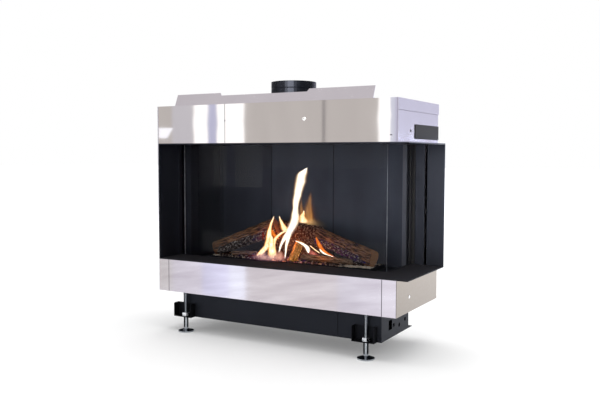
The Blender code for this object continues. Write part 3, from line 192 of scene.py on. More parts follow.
def stretched(tree, sizes, place=None):
    """Coordinates, the object's own or those given, in which one unit is that many millimetres along each axis."""
    if place is None:
        place = add(tree, "TexCoord").outputs["Object"]
    return add(tree, "Mapping", {"Vector": place, "Scale": [per(size) for size in sizes]})


def cloud(tree, sizes, detail, roughness=0.5, place=None):
    """A soft pattern from 0 to 1 with features of those sizes in millimetres along, back and up."""
    inputs = {"Vector": stretched(tree, sizes, place), "Scale": 1.0, "Detail": detail, "Roughness": roughness}
    return add(tree, "TexNoise", inputs)


def between(tree, share, low, high, start=0.0, end=1.0):
    """What a share of a pattern gives, from low to high over that part of its range: hex tones or numbers."""
    if isinstance(low, str):
        return add(tree, "ValToRGB", {"Fac": share}, ((start, low), (end, high)))
    return add(tree, "MapRange", {"Value": share, "From Min": start, "From Max": end, "To Min": low, "To Max": high})


# Finishes

# What paint and enamel mirror is a little bluer than the room
COOL_SHEEN = linear("#ccd6f4")


def galvanised_sheet(name, bright, dull, gloss, grain, wave, side=None):
    """Hot-dip galvanised steel sheet, skin-passed: a near mirror with long pale rolling streaks, a faint spangle, and
    a slow wave that bends reflected edges.

    The gloss is the roughness of its dull and its bright streaks, the grain the streaks' sizes along, back and up and
    the wave its depth, in millimetres. A side gives a painted shade for the sheet's return, a darker tone that stands
    in for how the room reflects there, and the place along the frame where that starts."""
    made, tree = blank("galvanised_sheet_" + name)
    place = add(tree, "TexCoord").outputs["Object"]
    leaning = add(tree, "Mapping", {"Vector": place, "Rotation": (0, STREAK_LEAN, 0)})
    streak = cloud(tree, grain, 3.0, 0.45, leaning)
    spangle = add(tree, "TexVoronoi", {"Vector": stretched(tree, (9, 9, 9)), "Scale": 1.0})
    colour = between(tree, streak, dull, bright, 0.3, 0.7)
    # On the sheet's return the colour is a painted shade, darker for how the room reflects there
    if side:
        tone, start = side
        on_painted_return = between(tree, add(tree, "SeparateXYZ", {0: place}), 0.0, 1.0, start, start + MM)
        colour = add(tree, "Mix", {0: on_painted_return, 6: colour, 7: linear(tone)}, data_type="RGBA")
    mottle = {0: between(tree, spangle, 0.0, 0.08), 6: colour, 7: linear(dull)}
    return surfaced(made, {
        "Base Color": add(tree, "Mix", mottle, data_type="RGBA"),
        "Metallic": 1.0,
        "Roughness": between(tree, streak, *gloss, 0.3, 0.7),
    }, cloud(tree, (160, 160, 90), 1.0), wave)


def clouded(name, tones, roughness, drift, depth, skin=None, sockets=None):
    """A finish whose tone drifts over soft clouds, and its roughness with it where that is a pair, under fine relief.

    The tones may end with the part of the drift that they fill. The drift and the skin each give the sizes of their
    features along, back and up in millimetres, and their detail. The relief, of that depth in millimetres, is the
    skin's, or else the drift's own."""
    made, tree = blank(name)
    share = cloud(tree, *drift)
    return surfaced(made, {
        "Base Color": between(tree, share, *tones),
        "Roughness": between(tree, share, *roughness) if isinstance(roughness, tuple) else roughness,
        **(sockets or {}),
    }, cloud(tree, *skin) if skin else share, depth)


def powder_coat(name, colour, worn, roughness, shine):
    """Powder coat or paint on steel, from matt to semi-gloss: a fine orange-peel skin, drawn a little coarser than
    real, that softens what it mirrors."""
    return clouded(name, (colour, worn, 0.3, 0.75), (roughness, roughness + 0.1), ((90, 90, 140), 3.0), 0.004,
                   ((2.5, 2.5, 2.5), 2.0), {"Specular IOR Level": shine, "Specular Tint": COOL_SHEEN})


def chamber_enamel(name, dark, pale):
    """Heat-proof enamel on the chamber's lining plates: smooth, dark blue-grey, faintly clouded by soot."""
    return clouded(name, (dark, pale, 0.3, 0.7), (0.3, 0.4), ((120, 120, 200), 4.0), 0.02, ((70, 70, 110), 1.0),
                   {"Specular IOR Level": 0.4, "Specular Tint": COOL_SHEEN})


def plated_metal(name, bright, dull, roughness, wear):
    """Bright zinc plate, or bare metal turned or drawn: fine turning marks, and dull patches of the wear's size."""
    return clouded(name, (dull, bright, 0.35, 0.65), (roughness + 0.12, roughness), ((wear, wear, wear), 4.0), 0.015,
                   ((30, 30, 0.8), 1.0), {"Metallic": 1.0})


def fire_glass():
    """Flat glass-ceramic with a low-reflection coat: almost clear, with a faint mirror of the lamps."""
    made, tree = blank("coated_glass_ceramic")
    return surfaced(made, {
        "Base Color": linear("#0a0c10"),
        "Roughness": between(tree, cloud(tree, (40, 40, 60), 2.0), 0.0, 0.02),
        "IOR": 1.5,
        "Specular IOR Level": 1.0,
        "Alpha": 0.07,
    })


def rope_gasket():
    """Woven glass-fibre gasket tape, graphited: a dark grey weave of about 2 mm with no shine."""
    made, tree = blank("woven_glass_fibre")
    weave = add(tree, "TexWave", {"Vector": stretched(tree, (3, 3, 3)), "Scale": 1.0, "Distortion": 1.0},
                bands_direction="DIAGONAL").outputs["Fac"]
    return surfaced(made, {
        "Base Color": between(tree, weave, "#1c1c1d", "#333335"),
        "Roughness": 0.9,
        "Sheen Weight": 0.2,
    }, weave, 0.2)


def threaded_steel():
    """Bright zinc plate on a levelling foot: a polished stem and pad below, and a rolled thread above them whose
    grooves are darkened as painted shade. The 1.5 mm pitch is drawn as 3 mm, so that it shows."""
    made, tree = blank("zinc_plated_thread")
    height = add(tree, "SeparateXYZ", {0: add(tree, "TexCoord").outputs["Object"]}).outputs[2]
    threaded = between(tree, height, 0.0, 1.0, THREAD_START, THREAD_START + MM)
    turns = add(tree, "Math", {0: height, 1: math.tau * per(3)}, operation="MULTIPLY")
    crest = between(tree, add(tree, "Math", {0: turns}, operation="SINE"), 0.0, 1.0, -1.0, 1.0)
    plain = between(tree, cloud(tree, (18, 18, 18), 4.0), "#9a9fa5", "#bcc1c6", 0.35, 0.65)
    # The thread's grooves are darkened as painted shade
    groove_shade = between(tree, crest, "#2c3036", "#9298a0")
    return surfaced(made, {
        "Base Color": add(tree, "Mix", {0: threaded, 6: plain, 7: groove_shade}, data_type="RGBA"),
        "Metallic": 1.0,
        "Roughness": between(tree, threaded, 0.07, 0.3),
    }, add(tree, "Math", {0: threaded, 1: crest}, operation="MULTIPLY"), 0.4)


def fired_log(name, bark, groove, heart, glow, coals=("#0d0a0b", "#3a2c28", "#a29a96"), smoulder=("#4a34d8", "#d8281c"),
              fleck_size=8, fibre_sizes=(34, 6, 24)):
    """Ceramic fibre cast as wood and painted: ridged bark, ringed cut ends, and a charred side with pale ash flecks
    and live embers.

    The coals are the char's dark and light tone and its ash. It smoulders in the first colour where it is barely hot,
    and elsewhere from the second to the glow. The mesh carries grain (along, round, out, in metres) and state (char,
    cut end, heat)."""
    made, tree = blank("painted_ceramic_" + name)
    grain = add(tree, "Attribute", attribute_name="grain").outputs["Vector"]
    state = add(tree, "Attribute", attribute_name="state").outputs["Vector"]
    char, cut_end, heat = add(tree, "SeparateXYZ", {0: state}).outputs
    fibre = cloud(tree, fibre_sizes, 6.0, 0.72, grain)
    fleck = cloud(tree, (fleck_size, fleck_size * 0.8, fleck_size), 2.0, 0.6, grain)
    # Year rings 3.5 mm apart
    turns = add(tree, "Math", {0: add(tree, "SeparateXYZ", {0: grain}).outputs[2], 1: per(0.55)}, operation="MULTIPLY")
    rings = between(tree, add(tree, "Math", {0: turns}, operation="SINE"), 0.0, 1.0, -1.0, 1.0)
    wood = between(tree, fibre, groove, bark, 0.44, 0.58)
    dry = add(tree, "Mix", {0: cut_end, 6: wood, 7: between(tree, rings, heart, bark)}, data_type="RGBA")
    coal = between(tree, fleck, coals[0], coals[1], 0.36, 0.58)
    flecks = between(tree, fleck, 0.0, 0.85, 0.55, 0.63)
    ash = add(tree, "Mix", {0: flecks, 6: coal, 7: linear(coals[2])}, data_type="RGBA")
    ember = between(tree, fleck, 1.3, 0.0, 0.32, 0.45)
    burn = between(tree, fibre, smoulder[1], glow, 0.35, 0.75)
    full = between(tree, heat, 0.0, 1.0, 0.12, 0.4)
    return surfaced(made, {
        "Base Color": add(tree, "Mix", {0: char, 6: dry, 7: ash}, data_type="RGBA"),
        "Roughness": 0.92,
        "Specular IOR Level": 0.2,
        "Emission Color": add(tree, "Mix", {0: full, 6: linear(smoulder[0]), 7: burn}, data_type="RGBA"),
        "Emission Strength": add(tree, "Math", {0: ember, 1: heat}, operation="MULTIPLY"),
    }, fibre, 0.8)


def ember_granules():
    """Vermiculite and crushed ceramic on the burner: near black lumps, some grey with ash, some glowing red.

    The mesh carries state (tint of the glow, ash, strength of the glow)."""
    made, tree = blank("ceramic_ember_granules")
    state = add(tree, "Attribute", attribute_name="state").outputs["Vector"]
    tint, ashen, glow = add(tree, "SeparateXYZ", {0: state}).outputs
    rough = cloud(tree, (3, 3, 3), 3.0)
    dark = between(tree, rough, "#1b1516", "#4a3a38", 0.3, 0.7)
    ash = between(tree, rough, "#a89c90", "#ece2d2", 0.3, 0.7)
    return surfaced(made, {
        "Base Color": add(tree, "Mix", {0: ashen, 6: dark, 7: ash}, data_type="RGBA"),
        "Roughness": 0.9,
        "Specular IOR Level": 0.2,
        "Emission Color": between(tree, tint, "#5a3c9c", "#ff8a64", 0.2, 0.7),
        "Emission Strength": glow,
    }, rough, 0.6)


def burning_gas(name, skin, body, heart, root, thickness, strength, fade=0.86):
    """Burning gas: light without a surface, darker at its skin and palest inside, with its own tone at the root.

    The thickness is how solid it shows and the strength how bright, both from its skin to its heart. It thins out
    above the fade. The mesh carries rise, the share of the flame's height, and depth, 0 at its skin and 1 inside."""
    made, tree = blank("burning_gas_" + name)
    rise = add(tree, "Attribute", attribute_name="rise").outputs["Fac"]
    depth = add(tree, "Attribute", attribute_name="depth").outputs["Fac"]
    inner = add(tree, "ValToRGB", {"Fac": depth}, ((0.0, skin), (0.45, body), (1.0, heart)))
    low = between(tree, rise, 1.0, 0.0, 0.0, 0.25)
    colour = add(tree, "Mix", {0: low, 6: inner, 7: linear(root)}, data_type="RGBA")
    start = between(tree, rise, 0.0, 1.0, 0.02, 0.16)
    end = between(tree, rise, 1.0, 0.0, fade, 1.0)
    shown = add(tree, "Math", {0: start, 1: end}, operation="MULTIPLY")
    deep = between(tree, add(tree, "Math", {0: depth, 1: depth}, operation="MULTIPLY"), *thickness)
    ragged = between(tree, cloud(tree, (9, 9, 45), 2.0), 0.4, 1.6, 0.3, 0.7)
    thick = add(tree, "Math", {0: deep, 1: ragged}, operation="MULTIPLY")
    alpha = add(tree, "Math", {0: shown, 1: thick}, operation="MULTIPLY", use_clamp=True)
    light = add(tree, "Emission", {"Color": colour, "Strength": between(tree, depth, *strength)})
    mix = add(tree, "MixShader", {0: alpha, 1: add(tree, "BsdfTransparent"), 2: light})
    add(tree, "OutputMaterial", {"Surface": mix})
    made.cycles.emission_sampling = "NONE"
    return made


BRIGHT_SHEET = galvanised_sheet("bright", "#e3dfde", "#dfdbda", (0.03, 0.05), (60, 60, 240), 0.03)
FLANGE_SHEET = galvanised_sheet("satin", "#e9e6f0", "#e5e2ec", (0.1, 0.14), (80, 80, 80), 0.03)
BAND_SHEET = galvanised_sheet("streaked", "#d8d4dc", "#c2bcc5", (0.07, 0.12), (190, 190, 30), 0.05)
# The corner sheet's return is a darker beige, painted shade for how its side reflects the room
CORNER_SHEET = galvanised_sheet("corner", "#dad6de", "#cbc5cd", (0.07, 0.12), (190, 190, 30), 0.05,
                                ("#999088", at(889, 0, 0).x))
PLAIN_SHEET = galvanised_sheet("plain", "#dcdae2", "#d9d7df", (0.14, 0.2), (90, 90, 160), 0.03)
BACK_SHEET = galvanised_sheet("dull", "#c6c6ca", "#b2b2b7", (0.3, 0.42), (25, 25, 25), 0.05)
SATIN_BLACK = powder_coat("satin_black_powder_coat", "#14151a", "#1a1b20", 0.3, 0.55)
TRIM_GREY = powder_coat("grey_heat_proof_paint", "#60636c", "#6c6f79", 0.45, 0.4)
SILL_BLACK = powder_coat("fine_textured_black_powder_coat", "#1f1e20", "#262528", 0.6, 0.25)
BOX_BLACK = powder_coat("matt_black_powder_coat", "#121316", "#181a1e", 0.5, 0.25)
# A black darker than the other coats, painted shade for the shade under the band
SHADE_DARKENED_BLACK = powder_coat("black_paint_darkened_for_shade", "#050506", "#0b0b0c", 0.5, 0.15)
FLUE_BLACK = powder_coat("semi_gloss_stove_enamel", "#090a0b", "#0e0f10", 0.22, 0.6)
ENAMEL = chamber_enamel("black_enamelled_steel", "#1c1d22", "#25272e")
# Lighter copies of the same enamel for the rear plates towards the right, painted light from the side glass
ENAMEL_PAINTED_LIGHTER = chamber_enamel("black_enamelled_steel_painted_lighter", "#272830", "#32343e")
ENAMEL_PAINTED_LIGHTEST = chamber_enamel("black_enamelled_steel_painted_lightest", "#383b45", "#474c58")
GLASS = fire_glass()
ROPE = rope_gasket()
THREADED = threaded_steel()
ZINC = plated_metal("bright_zinc_plate", "#b9bec5", "#8f959c", 0.12, 18)
STAINLESS = plated_metal("rolled_stainless_steel", "#c9c8c6", "#b4b2b0", 0.25, 60)
BRASS = plated_metal("machined_brass", "#d9b566", "#b48f45", 0.2, 15)
COPPER = plated_metal("drawn_copper", "#d98f68", "#a9623f", 0.22, 20)
NUT_STEEL = plated_metal("bright_zinc_nut", "#f2f4f8", "#d8dce2", 0.2, 12)
# Pure white metal for the plugs, a painted highlight of the bright spot that each hole shows
WHITE_PLUG_HIGHLIGHT = plated_metal("white_plug_painted_highlight", "#ffffff", "#f4f4f6", 0.3, 6)
# A glass pane's ground edge: frosted, and pale as a painted highlight of the light the edge catches, with a fine
# grinding mark
GLASS_EDGE_HIGHLIGHT = clouded("glass_edge_painted_highlight", ("#8a8f98", "#bcc2cc", 0.3, 0.7), 0.35, ((2, 2, 14), 2.0), 0.02,
                       sockets={"Specular IOR Level": 0.6})
# Die-cast aluminium, sand-blasted: pale grey, evenly dull, with a fine pitted skin
CAST = clouded("cast_aluminium", ("#a4a5a8", "#bfc0c2"), 0.5, ((1.5, 1.5, 1.5), 3.0), 0.05, sockets={"Metallic": 0.9})
# Glass-filled nylon, moulded: matt black with a fine spark-eroded grain
NYLON = clouded("moulded_nylon", ("#161617", "#232325"), 0.6, ((1.2, 1.2, 1.2), 2.0), 0.04,
                sockets={"Specular IOR Level": 0.4})
# Anodised aluminium plate dyed dark brown-grey, brushed along its length and left bare
DYED = clouded("dyed_anodised_aluminium", ("#2b2928", "#353230"), (0.45, 0.6), ((4, 60, 0.7), 2.0), 0.01,
               sockets={"Specular IOR Level": 0.12})
GRANULES = ember_granules()
BARK_LOG = fired_log("bark", "#94684a", "#241a13", "#8a6a48", "#ff6a4a")
STUMP = fired_log("charred", "#6a5244", "#2a1e18", "#8a7460", "#d84828", ("#150c0b", "#4c3229", "#a2826e"),
                  ("#5a1a14", "#a8301c"), 5.5)
GREY_LOG = fired_log("grey_bark", "#8c7460", "#2c221a", "#b39878", "#ff7a30")
# The split log's pale golden wood and strong glow are painted light, for the flames' light falling on it
FIRELIT_LOG = fired_log("glowing", "#f0b060", "#6a3414", "#e8b060", "#ffd27c", ("#5a2c12", "#c88434", "#f0c888"),
                    ("#8a4414", "#d88628"), 6, (30, 3.4, 12))
WHITE_GAS = burning_gas("white", "#b07038", "#ffe8c4", "#fffdf8", "#ffe4d8", (0.04, 0.7), (0.9, 3.0))
YELLOW_GAS = burning_gas("yellow", "#b8581c", "#ffb654", "#fffae0", "#ffc8a0", (0.05, 0.62), (0.9, 3.0))
ORANGE_GAS = burning_gas("orange", "#7a2408", "#f06414", "#ffa040", "#c04030", (0.06, 0.5), (0.9, 1.5))
VEIL_GAS = burning_gas("veil", "#5c3414", "#a8642c", "#ffb868", "#ffd08c", (0.02, 0.11), (0.9, 1.5), 0.1)
RED_GAS = burning_gas("red", "#7a2030", "#d05048", "#ff9a84", "#d87070", (0.02, 0.16), (0.9, 1.3), 0.5)
SALMON_GAS = burning_gas("salmon", "#a04c38", "#e88a6c", "#ffc0a4", "#f0a890", (0.02, 0.14), (0.9, 1.3), 0.5)
PINK_GAS = burning_gas("pink", "#5a3a80", "#c07888", "#ffd4c0", "#d898a4", (0.015, 0.1), (0.8, 1.5), 0.4)

NODE_FINISHES = {
    BRIGHT_SHEET: ("upper_front_panel_left", "upper_front_panel_right"),
    FLANGE_SHEET: ("lid_flange",),
    BAND_SHEET: ("lower_left_post", "lower_front_panel"),
    CORNER_SHEET: ("lower_right_corner_panel",),
    PLAIN_SHEET: ("upper_right_panel", "casing_lid", "left_casing_panel", "rear_right_column"),
    BACK_SHEET: ("back_casing_panel", "casing_base", "air_box"),
    SILL_BLACK: ("floor_plate",),
    SATIN_BLACK: ("top_plate", "left_reveal_panel", "left_glass_post", "rear_reveal_panel", "rear_glass_post"),
    BOX_BLACK: ("base_box", "base_box_cover", "burner_tray"),
    SHADE_DARKENED_BLACK: [corner + "_foot_bracket" for corner in CORNERS],
    FLUE_BLACK: ("outer_flue_collar",),
    ENAMEL: ("chamber_shell", "chamber_floor", "chamber_lintel", "chamber_ceiling", "left_liner"),
    ENAMEL_PAINTED_LIGHTER: ("rear_liner_left",),
    ENAMEL_PAINTED_LIGHTEST: ("rear_liner_middle", "rear_liner_right"),
    TRIM_GREY: ("rear_corner_trim",),
    GLASS: ("front_glass", "side_glass"),
    ROPE: ("bottom_gasket", "top_gasket"),
    THREADED: [corner + "_foot" for corner in CORNERS],
    STAINLESS: ("inner_flue_pipe", "pilot_burner"),
    BRASS: ("gas_tap",),
    COPPER: ("supply_pipe", "inlet_pipe"),
    CAST: ("gas_valve",),
    NYLON: ("valve_knob", "tap_lever"),
    DYED: ("data_plate",),
}
for finish, names in NODE_FINISHES.items():
    for name in names:
        node_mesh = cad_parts[name].data
        node_mesh.materials.clear()
        node_mesh.materials.append(finish)


# Pieces


def mesh_of(name, shape):
    """The mesh of a finished bmesh, which is let go."""
    mesh = bpy.data.meshes.new(name)
    shape.to_mesh(mesh)
    shape.free()
    return mesh


def write_values(mesh, name, values):
    """Stores one number or one vector for each corner point of a mesh."""
    values = np.asarray(values, dtype=np.float32)
    kind, field = ("FLOAT_VECTOR", "vector") if values.ndim == 2 else ("FLOAT", "value")
    mesh.attributes.new(name, kind, "POINT").data.foreach_set(field, values.ravel())


def hide_from(made, *rays):
    """Keeps an object out of sight of those kinds of ray."""
    for ray in rays:
        setattr(made, "visible_" + ray, False)


def piece(name, mesh, finish, body="casing", smooth=True):
    """Adds a mesh to the scene as a piece that rides on a body."""
    made = bpy.data.objects.new(name, mesh)
    bpy.context.scene.collection.objects.link(made)
    mesh.materials.append(finish)
    mesh.polygons.foreach_set("use_smooth", [smooth] * len(mesh.polygons))
    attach(made, body)
    return made


def remeshed(source, voxel, rounds):
    """A copy of a mesh with even small faces of that many millimetres and softened edges, as a bmesh."""
    carrier = bpy.data.objects.new("remesh_source", source.copy())
    bpy.context.scene.collection.objects.link(carrier)
    grid = carrier.modifiers.new("grid", "REMESH")
    grid.mode = "VOXEL"
    grid.voxel_size = voxel * MM
    even = bpy.data.meshes.new_from_object(carrier.evaluated_get(bpy.context.evaluated_depsgraph_get()))
    bpy.data.objects.remove(carrier)
    shape = bmesh.new()
    shape.from_mesh(even)
    bpy.data.meshes.remove(even)
    for _ in range(rounds):
        bmesh.ops.smooth_vert(shape, verts=shape.verts, factor=0.5, use_axis_x=True, use_axis_y=True, use_axis_z=True)
    return shape


def bark_log(name, node, finish, seed, char_from, heat, bare=(0, 0), ridge=1.6, voxel=LOG_VOXEL, rounds=3,
             cracks=3.4):
    """A log with ridged bark on its upper side and cracked char on the side that faces the fire.

    It is the CAD log with its skin worked inwards by the depth of its ridges and cracks, in millimetres, so it stays
    in its seat. The bare lengths at its two ends, in millimetres, aren't charred."""
    shape = remeshed(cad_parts[node].data, voxel, rounds)
    places = np.array([v.co for v in shape.verts])
    middle = places.mean(axis=0)
    axis = Vector(np.linalg.svd(places - middle, full_matrices=False)[2][0])
    if axis.x < 0:
        axis.negate()
    up = (Vector((0, 0, 1)) - axis * axis.z).normalized()
    side = axis.cross(up)
    middle = Vector(middle)
    along = [(v.co - middle).dot(axis) for v in shape.verts]
    start, end = min(along), max(along)
    grain, state = [], []
    for vert, run in zip(shape.verts, along):
        out = vert.co - middle - axis * run
        angle = math.atan2(out.dot(side), out.dot(up))
        radius = out.length
        facing = out.normalized().dot(up) if radius else 0
        # The cut ends: faces square to the log within 10 mm of its ends
        cut = 1.0 if abs(vert.normal.dot(axis)) > 0.75 and min(run - start, end - run) < 10 * MM else 0.0
        # The edge of the char wanders over 30 mm, bark ridges are 50 mm long and cracks 12 mm
        drift = noise.noise(Vector((run / (30 * MM), angle, seed)))
        char = min(1, max(0, (char_from - facing + 0.25 * drift) / 0.12))
        if run - start < bare[0] * MM * (1 + drift) or end - run < bare[1] * MM * (1 + drift):
            char = 0
        bark = abs(noise.noise(Vector((run / (50 * MM), 5 * angle, seed))))
        crack = noise.noise(Vector((run / (12 * MM), 3.6 * angle, seed + 5)))
        depth = (1 - char) * ridge * (1 - 2 * bark) + char * cracks * max(0, crack)
        vert.co -= vert.normal * max(0, depth) * MM * (0.3 if cut else 1)
        grain.append((run, angle * 30 * MM, radius))
        state.append((char * (1 - 0.75 * cut), cut, heat(vert.co) * (0.25 + 0.75 * char)))
    mesh = mesh_of(name, shape)
    write_values(mesh, "grain", grain)
    write_values(mesh, "state", state)
    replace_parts(piece(name, mesh, finish), node)


def warmth(centre, reach, most):
    """A heat that falls off from one place on the drawing over a distance in metres."""
    heart = at(*centre)
    return lambda place: most * max(0, 1 - (place - heart).length / reach)


def make_logs():
    """The two long logs, the stump between them and the three small logs, each warm where the fire is near."""
    fire = warmth((400, 190, 285), 0.13, 1.5)
    right_fire = warmth((600, 190, 275), 0.2, 0.28)

    def both(place):
        return max(fire(place), right_fire(place))

    bark_log("long_left_log", "left_log", BARK_LOG, 3, 0.1, both, (16, 0))
    bark_log("long_right_log", "right_log", BARK_LOG, 8, 0.05, both, (0, 34))
    bark_log("charred_stump_block", "charred_stump", STUMP, 21, 1.4, warmth((430, 170, 300), 0.13, 0.5), ridge=2.0,
             voxel=1.8, rounds=1, cracks=2.0)
    bark_log("short_front_log", "front_log", GREY_LOG, 31, -0.3, warmth((440, 170, 262), 0.07, 0.6), ridge=1.2)
    # Its strong heat is painted firelight on the split log
    bark_log("glowing_split_log", "split_log", FIRELIT_LOG, 44, -0.6, warmth((446, 160, 285), 0.13, 6.0), ridge=1.4,
             voxel=1.6)
    bark_log("kindling_branch", "kindling_log", GREY_LOG, 52, -0.1, warmth((300, 190, 262), 0.09, 0.8), ridge=1.0,
             voxel=1.8)


def lump(shape, place, size, chance, flat=(1, 1, 1)):
    """Adds one broken lump to a bmesh and returns how many corner points it has; flat stretches it into a chip."""
    made = bmesh.ops.create_icosphere(shape, subdivisions=1, radius=size)["verts"]
    turn = Matrix.Rotation(chance.uniform(0, math.tau), 3, Vector((chance.random(), chance.random(), 1)))
    stretch = Vector((chance.uniform(0.7, 1.3), chance.uniform(0.7, 1.2), chance.uniform(0.5, 0.9)))
    for vert in made:
        knock = 1 + 0.3 * noise.noise(vert.co / size + Vector(place) * 300)
        broken = turn @ Vector(a * b for a, b in zip(vert.co, stretch)) * knock
        vert.co = Vector(a * b for a, b in zip(broken, flat)) + place
    return len(made)


def loose_piece(name, shape, state):
    """A piece of loose lumps with their state, with sharp edges. Its finish is the granules'."""
    mesh = mesh_of(name, shape)
    write_values(mesh, "state", state)
    return piece(name, mesh, GRANULES, smooth=False)


def make_ember_bed():
    """Loose granules heaped over the burner, glowing where the flames leave it."""
    low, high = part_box("ember_bed")
    shape = bmesh.new()
    chance = random.Random(LUMP_SEED)
    for vert in bmesh.ops.create_grid(shape, x_segments=BED_GRID[0], y_segments=BED_GRID[1], size=0.5)["verts"]:
        x = low.x + (vert.co.x + 0.5) * (high.x - low.x)
        y = low.y + (vert.co.y + 0.5) * (high.y - low.y)
        vert.co = Vector((x, y, high.z - 2.5 * MM + 2 * MM * noise.noise(Vector((x, y, 0)) * 120)))
    for grown in bmesh.ops.extrude_face_region(shape, geom=list(shape.faces))["geom"]:
        if isinstance(grown, bmesh.types.BMVert):
            grown.co.z = low.z
    bmesh.ops.recalc_face_normals(shape, faces=shape.faces)
    state = [(0.5, 0.0, 0.0)] * len(shape.verts)
    for _ in range(LUMP_COUNT):
        size = chance.uniform(*LUMP_SIZES) * MM
        x = chance.uniform(low.x + size, high.x - size)
        y = chance.uniform(low.y + size, high.y - size)
        place = Vector((x, y, high.z - MM + chance.uniform(0, 3 * MM)))
        ash = chance.uniform(0.3, 0.8) if chance.random() < 0.3 else 0.0
        near = math.exp(-(((on_drawing(place).x - BED_HEAT) / BED_HEAT_REACH) ** 2))
        glow = near * (chance.random() ** 6) * 1.6
        tint = 0.15 + 0.85 * near * chance.random() ** 0.4
        state += [(tint, ash, glow)] * lump(shape, place, size, chance)
    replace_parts(loose_piece("granule_bed", shape, state), "ember_bed")


def make_ash_chips():
    """Pale flat chips of ash at the two ends of the bed."""
    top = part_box("ember_bed")[1].z
    chance = random.Random(CHIP_SEED)
    groups = (("right_ash_chips", (652, 738), (144, 166), 64), ("left_ash_chips", (122, 150), (142, 158), 9))
    for name, along, back, count in groups:
        shape = bmesh.new()
        state = []
        for _ in range(count):
            place = at(chance.uniform(*along), chance.uniform(*back), 0)
            place.z = top + CHIP_LIFT * MM
            size = chance.uniform(*CHIP_SIZES) * MM
            flat = (chance.uniform(1.2, 2.0), 0.8, 0.5)
            state += [(0.0, chance.uniform(0.7, 1.0), 0.0)] * lump(shape, place, size, chance, flat)
        loose_piece(name, shape, state)


def along_curve(points, share):
    """A point of a smooth curve that runs through rows of numbers, at a share of the way from first to last row."""
    spans = len(points) - 1
    first = min(int(share * spans), spans - 1)
    t = share * spans - first
    before, start, end, after = (
        np.array(points[min(max(first + step, 0), spans)], dtype=float) for step in (-1, 0, 1, 2)
    )
    return 0.5 * (
        2 * start + (end - before) * t + (2 * before - 5 * start + 4 * end - after) * t**2
        + (3 * start - before - 3 * end + after) * t**3
    )


def join_rings(shape, rings):
    """Closes the faces between each ring of corner points and the next."""
    for low, high in zip(rings, rings[1:]):
        for step in range(len(low)):
            after = (step + 1) % len(low)
            shape.faces.new((low[step], low[after], high[after], high[step]))


def flame(name, gas, back, rows, spread=FLAME_SPREAD):
    """A tongue of fire as nested closed shells, so that its edge is soft from all sides.

    A row gives along, up and half width on the drawing, and its own place back where the flame has none. The spread
    gives the widest and narrowest shell's share of the width."""
    shape = bmesh.new()
    rise, depth = [], []
    seed = rows[0][0]
    for shell in range(FLAME_SHELLS):
        inside = shell / (FLAME_SHELLS - 1)
        share = spread[0] + (spread[1] - spread[0]) * inside
        rings = []
        for step in range(FLAME_RINGS):
            height = step / (FLAME_RINGS - 1)
            along, up, wide, *own_back = along_curve(rows, height)
            far = own_back[0] if own_back else back
            ring = []
            for corner in range(FLAME_SIDES):
                angle = math.tau * corner / FLAME_SIDES
                knock = 1 + 0.14 * noise.noise(Vector((2 * math.cos(angle), up / 16, seed + 2 * math.sin(angle))))
                reach = max(wide * share * knock, 0.25)
                deep = reach * FLAME_THICKNESS
                ring.append(shape.verts.new(at(along + reach * math.cos(angle), far + deep * math.sin(angle), up)))
                rise.append(height)
                depth.append(inside)
            rings.append(ring)
        join_rings(shape, rings)
        shape.faces.new(rings[0][::-1])
        shape.faces.new(rings[-1])
    # A tongue drawn from its top down comes out with its faces turned in
    if rows[-1][1] < rows[0][1]:
        bmesh.ops.reverse_faces(shape, faces=shape.faces[:])
    mesh = mesh_of(name, shape)
    write_values(mesh, "rise", rise)
    write_values(mesh, "depth", depth)
    hide_from(piece(name, mesh, gas), "diffuse", "glossy")


